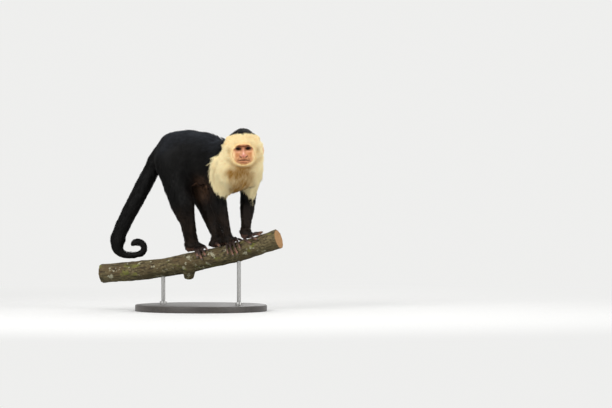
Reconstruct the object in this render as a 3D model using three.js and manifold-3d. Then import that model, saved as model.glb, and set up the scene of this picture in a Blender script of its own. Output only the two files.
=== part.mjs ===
// A life-size white-faced capuchin monkey, standing on all fours on a cut length of branch
// that a plain round display stand holds up.
//
// Millimetres, +Z up, +X along the branch towards the hands, -Y the side that the face looks to.
// The origin is the centre of the stand's underside. The flesh is one smooth field of rounded
// shapes, out to the tips of the coat, turned into a mesh and parted with thin cuts.

import * as THREE from "three";
import { triTable } from "three/addons/objects/MarchingCubes.js";
import { mergeVertices } from "three/addons/utils/BufferGeometryUtils.js";
import Module from "manifold-3d";

const wasm = await Module();
wasm.setup();
const { Manifold, Mesh } = wasm;

// ---- driving dimensions ------------------------------------------------------------------

const gap = 0.35; // between neighbouring pieces
const bones = { upperArm: 92, forearm: 92, thigh: 114, shank: 108 };
const stance = { pelvisYaw: -28, chestYaw: -45, hipHalfWidth: 28, shoulderHalfWidth: 45 };
// The size of the cells that each region's surface is made from.
const cells = {
  trunk: 22,
  rump: 19,
  limb: 18.5,
  tail: 17,
  tailTip: 9,
  head: 16,
  face: 8.5,
  extremity: 11,
};
// Radii with the coat, from the upper end of each part to its lower end.
const girth = {
  thigh: [43, 25],
  hamstring: [34, 19],
  shank: [24, 17],
  calf: [19, 20, 16.5],
  upperArm: [33, 20],
  elbow: [19.5, 19.5],
  forearm: [19.5, 13],
  wrist: 12,
  ankle: 15,
  heel: 9.5,
};

const perch = {
  radius: 26,
  height: 126, // of its axis above the floor, at the stand's centre
  slope: 0.225,
  rise: 0.000324, // how fast the slope grows, per millimetre
  drift: -0.404, // how far it comes forward for each millimetre to the right
  left: -250,
  right: 195,
  ridge: 0.9, // height of the bark's low ridges
  stub: { x: -30, tip: 13, root: 19, length: 30, lean: 0.35 }, // of a side shoot, underneath
};
const stand = { radius: 165, thickness: 16, edge: 4, rodRadius: 5, rodPlaces: [-95, 95] };
const eye = { radius: 9, halfSpacing: 12.3, depth: -23 };
const ear = { radius: 16, hollow: 12, thinness: 0.3, width: 0.78, out: 45, back: 20, low: -5 };
const digitForm = { root: 1.1, taper: 0.3, knuckle: 2.6, clearance: 1.2 };

const coat = {
  black: new THREE.MeshStandardMaterial({ color: 0x1d1a19, roughness: 0.8 }),
  cream: new THREE.MeshStandardMaterial({ color: 0xe8d3a4, roughness: 0.85 }),
  hand: new THREE.MeshStandardMaterial({ color: 0x2f2522, roughness: 0.7 }),
  ear: new THREE.MeshStandardMaterial({ color: 0xd9a78c, roughness: 0.6 }),
  eye: new THREE.MeshStandardMaterial({ color: 0x1c0f08, roughness: 0.1 }),
  bark: new THREE.MeshStandardMaterial({ color: 0x5a4a38, roughness: 0.95 }),
  base: new THREE.MeshStandardMaterial({ color: 0x3b3835, roughness: 0.5 }),
  rod: new THREE.MeshStandardMaterial({ color: 0x8a8a88, roughness: 0.3, metalness: 0.9 }),
};

// ---- points and directions ---------------------------------------------------------------

const at = (x, y, z) => new THREE.Vector3(x, y, z);
const up = at(0, 0, 1);
const radians = THREE.MathUtils.degToRad;
const mix = (a, b, t) => a.clone().lerp(b, t);

// The level direction that a body part faces, turned by degrees from +X.
const facing = (yaw) => at(Math.cos(radians(yaw)), Math.sin(radians(yaw)), 0);
// Its left-hand side.
const leftOf = (yaw) => facing(yaw + 90);

const perchAxis = (x) =>
  at(x, perch.drift * x, perch.height + perch.slope * x + perch.rise * x * x);

// A point over the branch: x along it, an angle round it from its top towards the front,
// and a height over its bark.
function onPerch(x, angle, height) {
  const along = at(1, perch.drift, perch.slope + 2 * perch.rise * x).normalize();
  const front = along.clone().cross(up).normalize();
  const top = front.clone().cross(along).normalize();
  const reach = perch.radius + height;
  return perchAxis(x)
    .addScaledVector(top, reach * Math.cos(radians(angle)))
    .addScaledVector(front, reach * Math.sin(radians(angle)));
}

// The joint between two bones of known length, bent towards a pole.
function middleJoint(from, to, first, second, pole) {
  const line = to.clone().sub(from);
  const distance = Math.min(line.length(), first + second - 1);
  const along = (first * first - second * second + distance * distance) / (2 * distance);
  const away = Math.sqrt(Math.max(first * first - along * along, 0));
  const direction = line.clone().normalize();
  const side = pole.clone().addScaledVector(direction, -pole.dot(direction)).normalize();
  return from.clone().addScaledVector(direction, along).addScaledVector(side, away);
}

// ---- the skeleton ------------------------------------------------------------------------

const pelvis = at(-62, 33, 388);
const chest = at(86, -56, 358);
const tailBase = at(-104, 52, 392);
const headCentre = at(106.5, -120, 407.5);
const headTurn = new THREE.Euler(radians(-3), radians(-2.5), radians(0.5), "ZYX");

// A point of the head from its own lateral, backward and upward distances. The eyes are level
// with the head's centre.
const onHead = (x, y, z) => at(x, y, z).applyEuler(headTurn).add(headCentre);

function limb(root, end, first, second, pole) {
  return { root, end, middle: middleJoint(root, end, first, second, pole) };
}

const side = (centre, yaw, distance, lift = 0, forward = 0) =>
  centre
    .clone()
    .addScaledVector(leftOf(yaw), distance)
    .addScaledVector(facing(yaw), forward)
    .addScaledVector(up, lift);

const hip = (s) => side(pelvis, stance.pelvisYaw, s * stance.hipHalfWidth, -12);
const shoulder = (s, forward, lift) =>
  side(chest, stance.chestYaw, s * stance.shoulderHalfWidth, lift, forward);

const limbs = {
  right_leg: limb(hip(-1), at(-24, 2, 172), bones.thigh, bones.shank, at(0.25, -0.95, 0)),
  left_leg: limb(hip(1), at(43, 0, 184), bones.thigh, bones.shank, at(0.55, -0.3, 0)),
  right_arm: limb(
    shoulder(-1, 0, 0), at(69, -38, 188), bones.upperArm, bones.forearm, at(-0.8, 0.5, 0)),
  left_arm: limb(
    shoulder(1, 12, 2), at(111, -42, 204), bones.upperArm, bones.forearm, at(-0.02, 1, 0)),
};

// ---- the field: distance to the surface, negative inside ---------------------------------

const clamp = THREE.MathUtils.clamp;

function roundCone(a, b, ra, rb) {
  const axis = b.clone().sub(a);
  const lengthSq = axis.lengthSq();
  const p = new THREE.Vector3();
  return (point) => {
    p.subVectors(point, a);
    const t = clamp(p.dot(axis) / lengthSq, 0, 1);
    return p.addScaledVector(axis, -t).length() - (ra + (rb - ra) * t);
  };
}

const ball = (centre, radius) => (point) => point.distanceTo(centre) - radius;

// radii: along the facing direction, sideways and upwards, turned by a yaw and a pitch.
function ellipsoid(centre, radii, yaw = 0, pitch = 0) {
  const back = new THREE.Quaternion()
    .setFromEuler(new THREE.Euler(0, radians(-pitch), radians(yaw), "ZYX"))
    .invert();
  const p = new THREE.Vector3();
  return (point) => {
    p.subVectors(point, centre).applyQuaternion(back);
    const k0 = Math.hypot(p.x / radii[0], p.y / radii[1], p.z / radii[2]);
    const k1 = Math.hypot(p.x / radii[0] ** 2, p.y / radii[1] ** 2, p.z / radii[2] ** 2);
    return k1 > 0 ? (k0 * (k0 - 1)) / k1 : -Math.min(...radii);
  };
}

function smoothJoin(a, b, blend) {
  const h = Math.max(blend - Math.abs(a - b), 0) / blend;
  return Math.min(a, b) - (h * h * blend) / 4;
}

// Blends a list of shapes into one, then presses hollows into it.
function blended(shapes, blend, hollows = [], hollowBlend = 6) {
  return (point) => {
    let d = Infinity;
    for (const shape of shapes) {
      const next = shape(point);
      d = d === Infinity ? next : smoothJoin(d, next, blend);
    }
    for (const hollow of hollows) {
      d = -smoothJoin(-d, hollow(point), hollowBlend);
    }
    return d;
  };
}

// ---- the trunk, neck and head ------------------------------------------------------------

const trunk = blended([
  ellipsoid(pelvis.clone().add(at(0, 0, 6)), [50, 49, 57], stance.pelvisYaw, 30), // rump
  ellipsoid(at(-26, 13, 395), [56, 50, 61], -30, 5), // loin
  ellipsoid(at(14, -12, 378), [56, 53, 70], -32, -12), // belly
  ellipsoid(at(56, -42, 364), [52, 53, 68], -40, -14), // ribs
  ellipsoid(at(78, -68, 336), [34, 40, 42], -52, 0), // breast
], 20);

const headBack = [
  ellipsoid(onHead(0, 17, 8), [38, 50, 43]), // skull
  ellipsoid(onHead(-29, 8, -22), [23, 28, 33]), // lower side tufts
  ellipsoid(onHead(29, 8, -22), [23, 28, 33]),
  ellipsoid(onHead(-35, 7, 14), [20, 23, 21.5]), // upper side tufts
  ellipsoid(onHead(32, 7, 13), [19.5, 23, 21]),
  ellipsoid(onHead(0, 14, 33), [21, 32, 18]), // peak of the cap
  roundCone(onHead(0, -4, -26), mix(chest, headCentre, 0.34), 30, 40), // throat
];
const faceShapes = [
  ellipsoid(onHead(0, -20, -4), [26, 14, 30]), // mask
  roundCone(onHead(-17, -25, 9), onHead(17, -25, 9), 7.5, 7.5), // brow
  ball(onHead(-16, -20, -13), 12), // cheeks
  ball(onHead(16, -20, -13), 12),
  ellipsoid(onHead(0, -29, -25), [18, 17, 14]), // muzzle
  roundCone(onHead(0, -31, -2), onHead(0, -43, -20), 5.5, 6), // nose
  ellipsoid(onHead(0, -28, -38), [15, 13, 9]), // chin
];
const sockets = [-1, 1].map((s) => ball(onHead(s * eye.halfSpacing, -38, -0.5), 8.5));
const head = blended([blended(headBack, 12), blended(faceShapes, 7)], 6, sockets, 5);

const mane = blended([
  ellipsoid(mix(chest, headCentre, 0.5), [46, 50, 48], -68, 30), // neck
  ellipsoid(at(84, -98, 352), [32, 46, 44], -60, 0), // right shoulder
  ellipsoid(at(125, -72, 354), [31, 34, 50], -60, 0), // left shoulder
], 16);

// ---- the limbs ---------------------------------------------------------------------------

function leg({ root, middle, end }, out, fuller = []) {
  const rump = root.clone().add(at(-6, out * 10, -18));
  const hamstring = middle.clone().add(at(-9, 18, -8));
  const calf = mix(middle, end, 0.36).add(at(-4, 8, 0));
  const [upperCalf, fullCalf, lowerCalf] = girth.calf;
  return [
    roundCone(root, middle, ...girth.thigh),
    roundCone(rump, hamstring, ...girth.hamstring),
    roundCone(middle, end, ...girth.shank),
    roundCone(hamstring, calf, upperCalf, fullCalf),
    roundCone(calf, end, fullCalf, lowerCalf),
    ...fuller,
  ];
}
// The loose coat behind the nearer thigh stands out over the hamstring.
const thighFringe = roundCone(at(-62, -8, 305), at(-46, -12, 250), 32, 25);

const arm = ({ root, middle, end }) => [
  roundCone(root, middle, ...girth.upperArm),
  roundCone(middle, mix(middle, end, 0.35), ...girth.elbow),
  roundCone(mix(middle, end, 0.25), end, ...girth.forearm),
];

// ---- hands and feet that grip the branch -------------------------------------------------

// Each digit runs from a place on the palm to its tip: [x, angle round the branch] at both
// ends, and its radius. The first is the thumb or big toe.
const extremities = {
  right_foot: {
    wrist: limbs.right_leg.end,
    wristRadius: girth.ankle,
    heel: onPerch(-25, -4, girth.heel),
    pads: [[-4, 9], [14, 7]],
    thickness: 7,
    digits: [
      [[-8, -16], [8, -70], 4.6],
      [[19, 15], [29, 46], 3.8],
      [[11, 17], [24, 73], 4.0],
      [[3, 17], [14, 85], 4.0],
      [[-5, 15], [4, 71], 3.8],
    ],
  },
  left_foot: {
    wrist: limbs.left_leg.end,
    wristRadius: girth.ankle,
    heel: onPerch(34, -6, girth.heel),
    pads: [[46, -26], [58, -14]],
    thickness: 7,
    digits: [
      [[46, 6], [59, 38], 4.6],
      [[64, -20], [75, -80], 3.8],
      [[57, -30], [67, -102], 4.0],
      [[49, -36], [57, -104], 4.0],
      [[41, -40], [45, -90], 3.8],
    ],
  },
  right_hand: {
    wrist: limbs.right_arm.end,
    wristRadius: girth.wrist,
    heel: onPerch(74, 8, girth.heel),
    pads: [[80, 24], [96, 18]],
    thickness: 6.5,
    digits: [
      [[92, -8], [108, -48], 4.0],
      [[102, 20], [111, 84], 3.6],
      [[94, 25], [101, 102], 3.8],
      [[86, 28], [90, 104], 3.8],
      [[78, 31], [79, 92], 3.5],
    ],
  },
  left_hand: {
    wrist: limbs.left_arm.end,
    wristRadius: girth.wrist,
    heel: onPerch(119, 4, girth.heel),
    pads: [[131, -8], [131, 24]],
    thickness: 6.5,
    digits: [
      [[122, 38], [138, 74], 4.0],
      [[136, 34], [154, 62], 3.6],
      [[138, 18], [162, 38], 3.8],
      [[138, 0], [163, 12], 3.8],
      [[135, -18], [157, -16], 3.5],
    ],
  },
};

const palm = ({ wrist, wristRadius, heel, pads, thickness }) => [
  roundCone(wrist, heel, wristRadius, girth.heel),
  ...pads.flatMap(([x, angle]) => {
    const pad = onPerch(x, angle, thickness - 1);
    return [roundCone(heel, pad, 9, thickness), roundCone(wrist, pad, 9, thickness - 1)];
  }),
];

// ---- the tail: straight down from the rump, then a curl on the branch --------------------

const curl = { centre: at(-160, 66, 156.5), start: 18.5, end: 14.5, turns: 0.65, depth: -5 };

function tailCurve() {
  const points = [
    mix(pelvis, tailBase, 0.55), tailBase, at(-122, 56, 356), at(-158, 60, 286),
    at(-187, 66, 232), at(-208, 71, 184), at(-210, 73, 153), at(-194, 72, 139),
  ];
  const steps = 9;
  for (let i = 0; i <= steps; i++) {
    const t = i / steps;
    const angle = radians(-100 + 360 * curl.turns * t);
    const reach = curl.start + (curl.end - curl.start) * t;
    points.push(curl.centre.clone().add(
      at(reach * Math.cos(angle), curl.depth * t, reach * Math.sin(angle))));
  }
  return new THREE.CatmullRomCurve3(points, false, "centripetal");
}

// Radius with the coat, from the root (0) to the tip (1) of the tail, which narrows at the curl.
const tailGirth = { root: 26, middle: 20.5, tip: 10.2, waist: 3, narrows: [0.62, 0.78] };
function tailRadius(t) {
  const { root, middle, tip, waist, narrows } = tailGirth;
  const straight = THREE.MathUtils.lerp(root, middle, Math.min(t / narrows[0], 1));
  const body = THREE.MathUtils.lerp(straight, tip, THREE.MathUtils.smoothstep(t, ...narrows));
  return body - waist * Math.exp(-(((t - 0.1) / 0.12) ** 2));
}

const tailPath = tailCurve();
const tailCount = 44;
const tailShapes = Array.from({ length: tailCount }, (_, i) => {
  const [t0, t1] = [i / tailCount, (i + 1) / tailCount];
  return roundCone(
    tailPath.getPointAt(t0), tailPath.getPointAt(t1), tailRadius(t0), tailRadius(t1));
});
const tail = (point) => Math.min(...tailShapes.map((shape) => shape(point)));

// ---- the whole body ----------------------------------------------------------------------

const limbShapes = {
  right_leg: [leg(limbs.right_leg, -1, [thighFringe]), "right_foot"],
  left_leg: [leg(limbs.left_leg, 1), "left_foot"],
  right_arm: [arm(limbs.right_arm), "right_hand"],
  left_arm: [arm(limbs.left_arm), "left_hand"],
};
const headAndMane = blended([mane, head], 9);
// A limb down to its palm, and the part of each limb that the trunk's own mesh needs.
const wholeLimb = (name) => {
  const [shapes, extremity] = limbShapes[name];
  return blended([...shapes, ...palm(extremities[extremity])], 7);
};
const limbStumps = Object.entries(limbShapes).map(([name, [shapes]]) =>
  blended(shapes.slice(0, name.endsWith("leg") ? 2 : 1), 7));
const trunkWith = (shapes) => blended([trunk, ...shapes, headAndMane], 12);
const trunkField = trunkWith(limbStumps);
const fleshField = (point) => smoothJoin(trunkField(point), tail(point), 9);

// ---- solids ------------------------------------------------------------------------------

function solidOf(geometry) {
  const bare = new THREE.BufferGeometry()
    .setAttribute("position", geometry.getAttribute("position"))
    .setIndex(geometry.index);
  const merged = mergeVertices(bare, 1e-4);
  const mesh = new Mesh({
    numProp: 3,
    vertProperties: new Float32Array(merged.attributes.position.array),
    triVerts: new Uint32Array(merged.index.array),
  });
  mesh.merge();
  return new Manifold(mesh);
}

function geometryOf(solid) {
  const { vertProperties, triVerts, numProp } = solid.getMesh();
  const positions = new Float32Array((vertProperties.length / numProp) * 3);
  for (let i = 0; i < positions.length / 3; i++) {
    positions.set(vertProperties.subarray(i * numProp, i * numProp + 3), i * 3);
  }
  const geometry = new THREE.BufferGeometry()
    .setAttribute("position", new THREE.BufferAttribute(positions, 3))
    .setIndex(new THREE.BufferAttribute(new Uint32Array(triVerts), 1));
  geometry.computeVertexNormals();
  return geometry;
}

const cubeCorners = [
  [0, 0, 0], [1, 0, 0], [1, 1, 0], [0, 1, 0], [0, 0, 1], [1, 0, 1], [1, 1, 1], [0, 1, 1],
];
const cubeEdges = [
  [0, 1], [1, 2], [2, 3], [3, 0], [4, 5], [5, 6], [6, 7], [7, 4], [0, 4], [1, 5], [2, 6], [3, 7],
];

// Marching cubes over a box, with each vertex then moved onto the field's true surface.
function surfaceSolid(field, box, cell) {
  const size = box.getSize(new THREE.Vector3());
  const counts = [size.x, size.y, size.z].map((length) => Math.ceil(length / cell) + 1);
  const node = (i, j, k) => (k * counts[1] + j) * counts[0] + i;
  const place = (i, j, k) => at(i, j, k).multiplyScalar(cell).add(box.min);
  const values = new Float64Array(counts[0] * counts[1] * counts[2]);
  for (let k = 0; k < counts[2]; k++) {
    for (let j = 0; j < counts[1]; j++) {
      for (let i = 0; i < counts[0]; i++) {
        const edge = [i, j, k].some((n, axis) => n === 0 || n === counts[axis] - 1);
        values[node(i, j, k)] = edge ? cell : field(place(i, j, k));
      }
    }
  }
  const slope = new THREE.Vector3();
  const probe = 0.05;
  const settle = (point) => {
    for (let step = 0; step < 2; step++) {
      const d = field(point);
      for (const axis of ["x", "y", "z"]) {
        const moved = point.clone();
        moved[axis] += probe;
        slope[axis] = (field(moved) - d) / probe;
      }
      const shift = clamp(-d / Math.max(slope.lengthSq(), 0.2), -cell / 3, cell / 3);
      point.addScaledVector(slope, shift);
    }
    return point;
  };
  const positions = [];
  const indices = [];
  const made = new Map();
  const vertexOn = (a, b) => {
    const [na, nb] = [node(...a), node(...b)];
    const key = na < nb ? na * values.length + nb : nb * values.length + na;
    if (!made.has(key)) {
      const t = clamp(values[na] / (values[na] - values[nb]), 0.12, 0.88);
      made.set(key, positions.length / 3);
      positions.push(...settle(mix(place(...a), place(...b), t)).toArray());
    }
    return made.get(key);
  };
  for (let k = 0; k < counts[2] - 1; k++) {
    for (let j = 0; j < counts[1] - 1; j++) {
      for (let i = 0; i < counts[0] - 1; i++) {
        const corners = cubeCorners.map(([x, y, z]) => [i + x, j + y, k + z]);
        const kind = corners.reduce(
          (bits, corner, n) => bits | (values[node(...corner)] > 0 ? 1 << n : 0), 0);
        for (let n = kind * 16; triTable[n] !== -1; n++) {
          const [a, b] = cubeEdges[triTable[n]];
          indices.push(vertexOn(corners[a], corners[b]));
        }
      }
    }
  }
  const geometry = new THREE.BufferGeometry()
    .setAttribute("position", new THREE.Float32BufferAttribute(positions, 3))
    .setIndex(indices);
  return solidOf(geometry);
}

// A box solid with its low and high corners given in a turned frame: the X, Y and Z axes are
// across, aside and along.
function block(origin, along, across, low, high, grow = 0) {
  const z = along.clone().normalize();
  const y = z.clone().cross(across).normalize();
  const x = y.clone().cross(z);
  const [lo, hi] = [at(...low).subScalar(grow), at(...high).addScalar(grow)];
  const size = hi.clone().sub(lo);
  const middle = hi.clone().add(lo).multiplyScalar(0.5);
  const geometry = new THREE.BoxGeometry(size.x, size.y, size.z)
    .translate(middle.x, middle.y, middle.z)
    .applyMatrix4(new THREE.Matrix4().makeBasis(x, y, z).setPosition(origin));
  return solidOf(geometry);
}

// A capsule bent along a curve, with a radius that changes along it.
function bentCapsule(curve, radiusAt, { sides, caps, rings }) {
  const length = curve.getLength();
  const radius = radiusAt(0.5);
  const geometry = new THREE.CapsuleGeometry(radius, length, caps, sides, rings);
  const frameCount = 40;
  const frames = curve.computeFrenetFrames(frameCount, false);
  const position = geometry.getAttribute("position");
  const point = new THREE.Vector3();
  for (let i = 0; i < position.count; i++) {
    point.fromBufferAttribute(position, i);
    const t = clamp(point.y / length + 0.5, 0, 1);
    const beyond = point.y - (t - 0.5) * length;
    const scale = radiusAt(t) / radius;
    const n = Math.round(t * frameCount);
    const moved = curve.getPointAt(t)
      .addScaledVector(frames.normals[n], point.z * scale)
      .addScaledVector(frames.binormals[n], point.x * scale)
      .addScaledVector(frames.tangents[n], beyond * scale);
    position.setXYZ(i, moved.x, moved.y, moved.z);
  }
  return solidOf(geometry);
}

// ---- how the body is parted --------------------------------------------------------------

const sources = {
  trunk: [fleshField, [-170, -205, 225], [185, 130, 475], cells.trunk],
  rump: [fleshField, [-190, -80, 270], [30, 130, 475], cells.rump],
  tail: [tail, [-250, 20, 150], [-80, 110, 430], cells.tail],
  tailTip: [tail, [-236, 30, 110], [-120, 104, 204], cells.tailTip],
  head: [fleshField, [35, -190, 325], [180, -25, 475], cells.head],
  face: [fleshField, [66, -185, 350], [150, -130, 440], cells.face],
  right_leg: [trunkWith([wholeLimb("right_leg")]), [-130, -80, 120], [60, 120, 450], cells.limb],
  left_leg: [trunkWith([wholeLimb("left_leg")]), [-110, -60, 120], [90, 130, 450], cells.limb],
  right_arm: [trunkWith([wholeLimb("right_arm")]), [-30, -160, 140], [125, 10, 430], cells.limb],
  left_arm: [trunkWith([wholeLimb("left_arm")]), [50, -120, 150], [185, 70, 430], cells.limb],
  right_foot: [wholeLimb("right_leg"), [-66, -45, 120], [46, 58, 215], cells.extremity],
  left_foot: [wholeLimb("left_leg"), [-14, -60, 130], [100, 62, 225], cells.extremity],
  right_hand: [wholeLimb("right_arm"), [35, -100, 140], [130, 10, 225], cells.extremity],
  left_hand: [wholeLimb("left_arm"), [78, -110, 150], [175, 5, 240], cells.extremity],
};
const meshed = {};
function sourceSolid(name) {
  const [field, low, high, cell] = sources[name];
  const box = new THREE.Box3(at(...low), at(...high));
  return (meshed[name] ??= surfaceSolid(field, box, cell));
}

// A cutter: all that lies beyond a plane, within half a width of the given point and as far as
// a reach. It can be grown, to leave the gap round the piece that it cuts.
const beyond = (point, normal, halfWidth, reach) => (grow) =>
  block(point, normal, Math.abs(normal.z) > 0.9 * normal.length() ? at(1, 0, 0) : up,
    [-halfWidth, -halfWidth, 0], [halfWidth, halfWidth, reach], grow);

const down = up.clone().negate();
const groin = side(pelvis, stance.pelvisYaw, 0, -54, 12);
// The thigh and upper arm part from the trunk at a plane that slopes up and outwards.
const slopes = {
  leg: (s) => [groin, leftOf(stance.pelvisYaw).multiplyScalar(0.6 * s).addScaledVector(down, 0.8)],
  arm: (s) => [side(chest, stance.chestYaw, s * 30, -56),
    leftOf(stance.chestYaw).multiplyScalar(0.72 * s).addScaledVector(down, 0.7)],
};
// The slope, kept within a slab that runs along the limb: so far behind its bone and before it.
const limbRoots = {
  leg: { yaw: stance.pelvisYaw, behind: 100, before: 48 },
  arm: { yaw: stance.chestYaw, behind: 38, before: 58 },
};
function rootCut(limbName, kind, s) {
  const { root, middle } = limbs[limbName];
  const { yaw, behind, before } = limbRoots[kind];
  const line = middle.clone().sub(root).normalize();
  const forward = facing(yaw).addScaledVector(line, -line.dot(facing(yaw)));
  return (grow) => block(...slopes[kind](s), facing(yaw), [-150, -150, 0], [150, 150, 150], grow)
    .intersect(block(root, forward, line, [-200, -200, -behind], [200, 200, before], grow));
}
const otherThigh = (s) => (grow) => block(
  groin.clone().addScaledVector(leftOf(stance.pelvisYaw), -s * gap), leftOf(stance.pelvisYaw)
    .multiplyScalar(-s), up, [-60, -100, 0], [60, 100, 120], grow);

// The three pieces of a limb: name, mesh, cutter and what is left out of it, from its end up.
function limbCuts(limbName, pieces, s) {
  const { root, middle, end } = limbs[limbName];
  const second = end.clone().sub(middle).normalize();
  const bend = middle.clone().sub(root).normalize().add(second);
  const isLeg = limbName.endsWith("leg");
  const wrist = end.clone().addScaledVector(second, 4);
  const [upper, lower, last] = pieces.map((piece, n) => ({
    name: piece,
    source: n === 2 ? piece : limbName,
    cut: [
      rootCut(limbName, isLeg ? "leg" : "arm", s),
      beyond(middle, bend, 60, 200),
      beyond(wrist, second, 80, 100),
    ][n],
  }));
  lower.without = [last.cut];
  upper.without = [lower.cut, ...(isLeg ? [otherThigh(s)] : [])];
  upper.trunkCut = true;
  return [last, lower, upper];
}

const neckLine = headCentre.clone().sub(chest).normalize();
const tailAt = (t) => [tailPath.getPointAt(t), tailPath.getTangentAt(t)];
const tailPlane = (t, halfWidth, reach) => beyond(...tailAt(t), halfWidth, reach);
// The tail leaves the rump within a short sleeve round its own axis.
function tailSleeve(grow) {
  const [start, along] = tailAt(0.12);
  const radius = tailGirth.root + 5 + grow;
  const turn = new THREE.Quaternion().setFromUnitVectors(at(0, 1, 0), along);
  const sleeve = new THREE.CylinderGeometry(radius, radius, 240, 14).applyQuaternion(turn);
  return solidOf(sleeve.translate(start.x, start.y, start.z));
}
const tailRootPlane = beyond(tailAt(0.085)[0], at(-0.42, 0.1, -0.9), 60, 300);
const tailCuts = [
  (grow) => tailRootPlane(grow).intersect(tailSleeve(grow)),
  tailPlane(0.22, 60, 300),
  tailPlane(0.41, 70, 200),
  tailPlane(0.63, 95, 120),
  (grow) => block(curl.centre, up, at(1, 0, 0), [-18.5, -50, 0], [52, 50, 28], grow),
];

const crown = (grow) => block(onHead(0, -19, 37), at(0, 0.36, 0.93).applyEuler(headTurn),
  at(1, 0, 0).applyEuler(headTurn), [-44, -60, 0], [44, 92, 60], grow);
const headCut = beyond(headCentre.clone().addScaledVector(neckLine, -42), neckLine, 90, 150);
const crownCut = (grow) => crown(grow).intersect(headCut(grow));
const faceCut = (grow) => block(onHead(0, -24, -8), at(0, -1, 0).applyEuler(headTurn),
  at(1, 0, 0).applyEuler(headTurn), [-30, -34, 0], [30, 24, 40], grow);
const neckCut = beyond(chest.clone().addScaledVector(neckLine, 10), at(0.35, -0.85, 0.38), 110, 160);
const chestCut = beyond(at(32, -24, 370), facing(-34), 150, 220);
const bellyCut = beyond(at(-34, 17, 380), facing(-28), 150, 300);
const everything = beyond(at(-250, 150, 360), facing(-28), 400, 800);

const allLimbs = [
  limbCuts("right_leg", ["right_thigh", "right_shank", "right_foot"], -1),
  limbCuts("left_leg", ["left_thigh", "left_shank", "left_foot"], 1),
  limbCuts("right_arm", ["right_upper_arm", "right_forearm", "right_hand"], -1),
  limbCuts("left_arm", ["left_upper_arm", "left_forearm", "left_hand"], 1),
].flat();
const rootCuts = allLimbs.filter((piece) => piece.trunkCut).map((piece) => piece.cut);
const trunkPiece = (name, source, cut, without) =>
  ({ name, source, cut, without: [...without, ...rootCuts] });
const fleshPieces = [
  ...["tail_root", "tail_upper", "tail_lower", "tail_curl", "tail_tip"].map((name, n) => ({
    name,
    source: ["rump", "tail", "tail", "tailTip", "tailTip"][n],
    cut: tailCuts[n],
    without: tailCuts.slice(n + 1),
  })),
  ...allLimbs,
  trunkPiece("crown_cap", "head", crownCut, []),
  trunkPiece("face", "face", faceCut, []),
  trunkPiece("head", "head", headCut, [crown, faceCut]),
  trunkPiece("neck", "trunk", neckCut, [headCut]),
  trunkPiece("chest", "trunk", chestCut, [headCut, neckCut]),
  trunkPiece("belly", "trunk", bellyCut, [chestCut, headCut, neckCut]),
  trunkPiece("pelvis", "rump", everything, [bellyCut, chestCut, headCut, neckCut, tailCuts[0]]),
];

// ---- the pieces that aren't part of the field --------------------------------------------

function perchSolid(grow = 0) {
  const { radius, left, right, ridge, stub } = perch;
  const curve = new THREE.CatmullRomCurve3(
    Array.from({ length: 7 }, (_, i) => perchAxis(THREE.MathUtils.lerp(left, right, i / 6))));
  const wood = new THREE.CylinderGeometry(1, 1, 1, 12, 12);
  const position = wood.getAttribute("position");
  const point = new THREE.Vector3();
  const along = curve.getTangentAt(0.5);
  const front = along.clone().cross(up).normalize();
  for (let i = 0; i < position.count; i++) {
    point.fromBufferAttribute(position, i);
    const t = point.y + 0.5;
    const angle = Math.atan2(point.x, point.z);
    const bumps = ridge * (Math.sin(5 * angle + 14 * t) + Math.sin(2 * angle - 23 * t) - 1);
    const reach = point.x === 0 && point.z === 0 ? 0 : radius + bumps + grow;
    const top = front.clone().cross(curve.getTangentAt(t)).normalize();
    const isEnd = t === 0 || t === 1;
    const moved = curve.getPointAt(t)
      .addScaledVector(front, reach * Math.sin(angle))
      .addScaledVector(top, reach * Math.cos(angle))
      .addScaledVector(along, isEnd ? grow * Math.sign(t - 0.5) : 0);
    position.setXYZ(i, moved.x, moved.y, moved.z);
  }
  const shoot = new THREE.CylinderGeometry(stub.tip + grow, stub.root + grow, stub.length, 9, 1)
    .rotateX(stub.lean - Math.PI / 2)
    .translate(...perchAxis(stub.x).add(at(0, -4, -24)).toArray());
  return solidOf(wood).add(solidOf(shoot));
}

function digitSolid([[x0, a0], [x1, a1], radius], grow = 0) {
  const { root, taper, clearance } = digitForm;
  const radiusAt = (t) => radius * (root - taper * t) + grow;
  const points = Array.from({ length: 6 }, (_, i) => {
    const t = i / 5;
    const knuckle = digitForm.knuckle * Math.sin(Math.PI * Math.min(t * 1.6, 1)) * (1 - t);
    const lift = radiusAt(t) - grow + clearance + knuckle;
    return onPerch(x0 + (x1 - x0) * t, a0 + (a1 - a0) * t, lift);
  });
  return bentCapsule(new THREE.CatmullRomCurve3(points), radiusAt, { sides: 6, caps: 1, rings: 3 });
}

const eyeSolid = (s, grow = 0) => {
  const ballShape = new THREE.SphereGeometry(eye.radius + grow, 10, 7);
  const centre = onHead(s * eye.halfSpacing, eye.depth, 0);
  return solidOf(ballShape.translate(centre.x, centre.y, centre.z));
};

// A shallow cup that stands off the side of the head.
function earSolid(s, grow = 0) {
  const cup = (radius, shift) => {
    const shape = new THREE.SphereGeometry(radius + grow, 8, 6)
      .scale(ear.thinness, ear.width, 1)
      .translate(s * shift, -shift * 0.5, 0)
      .rotateZ(s * -0.5)
      .translate(s * ear.out, ear.back, ear.low);
    shape.applyMatrix4(new THREE.Matrix4().makeRotationFromEuler(headTurn));
    return solidOf(shape.translate(headCentre.x, headCentre.y, headCentre.z));
  };
  return grow ? cup(ear.radius, 0) : cup(ear.radius, 0).subtract(cup(ear.hollow, 2.6));
}

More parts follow.
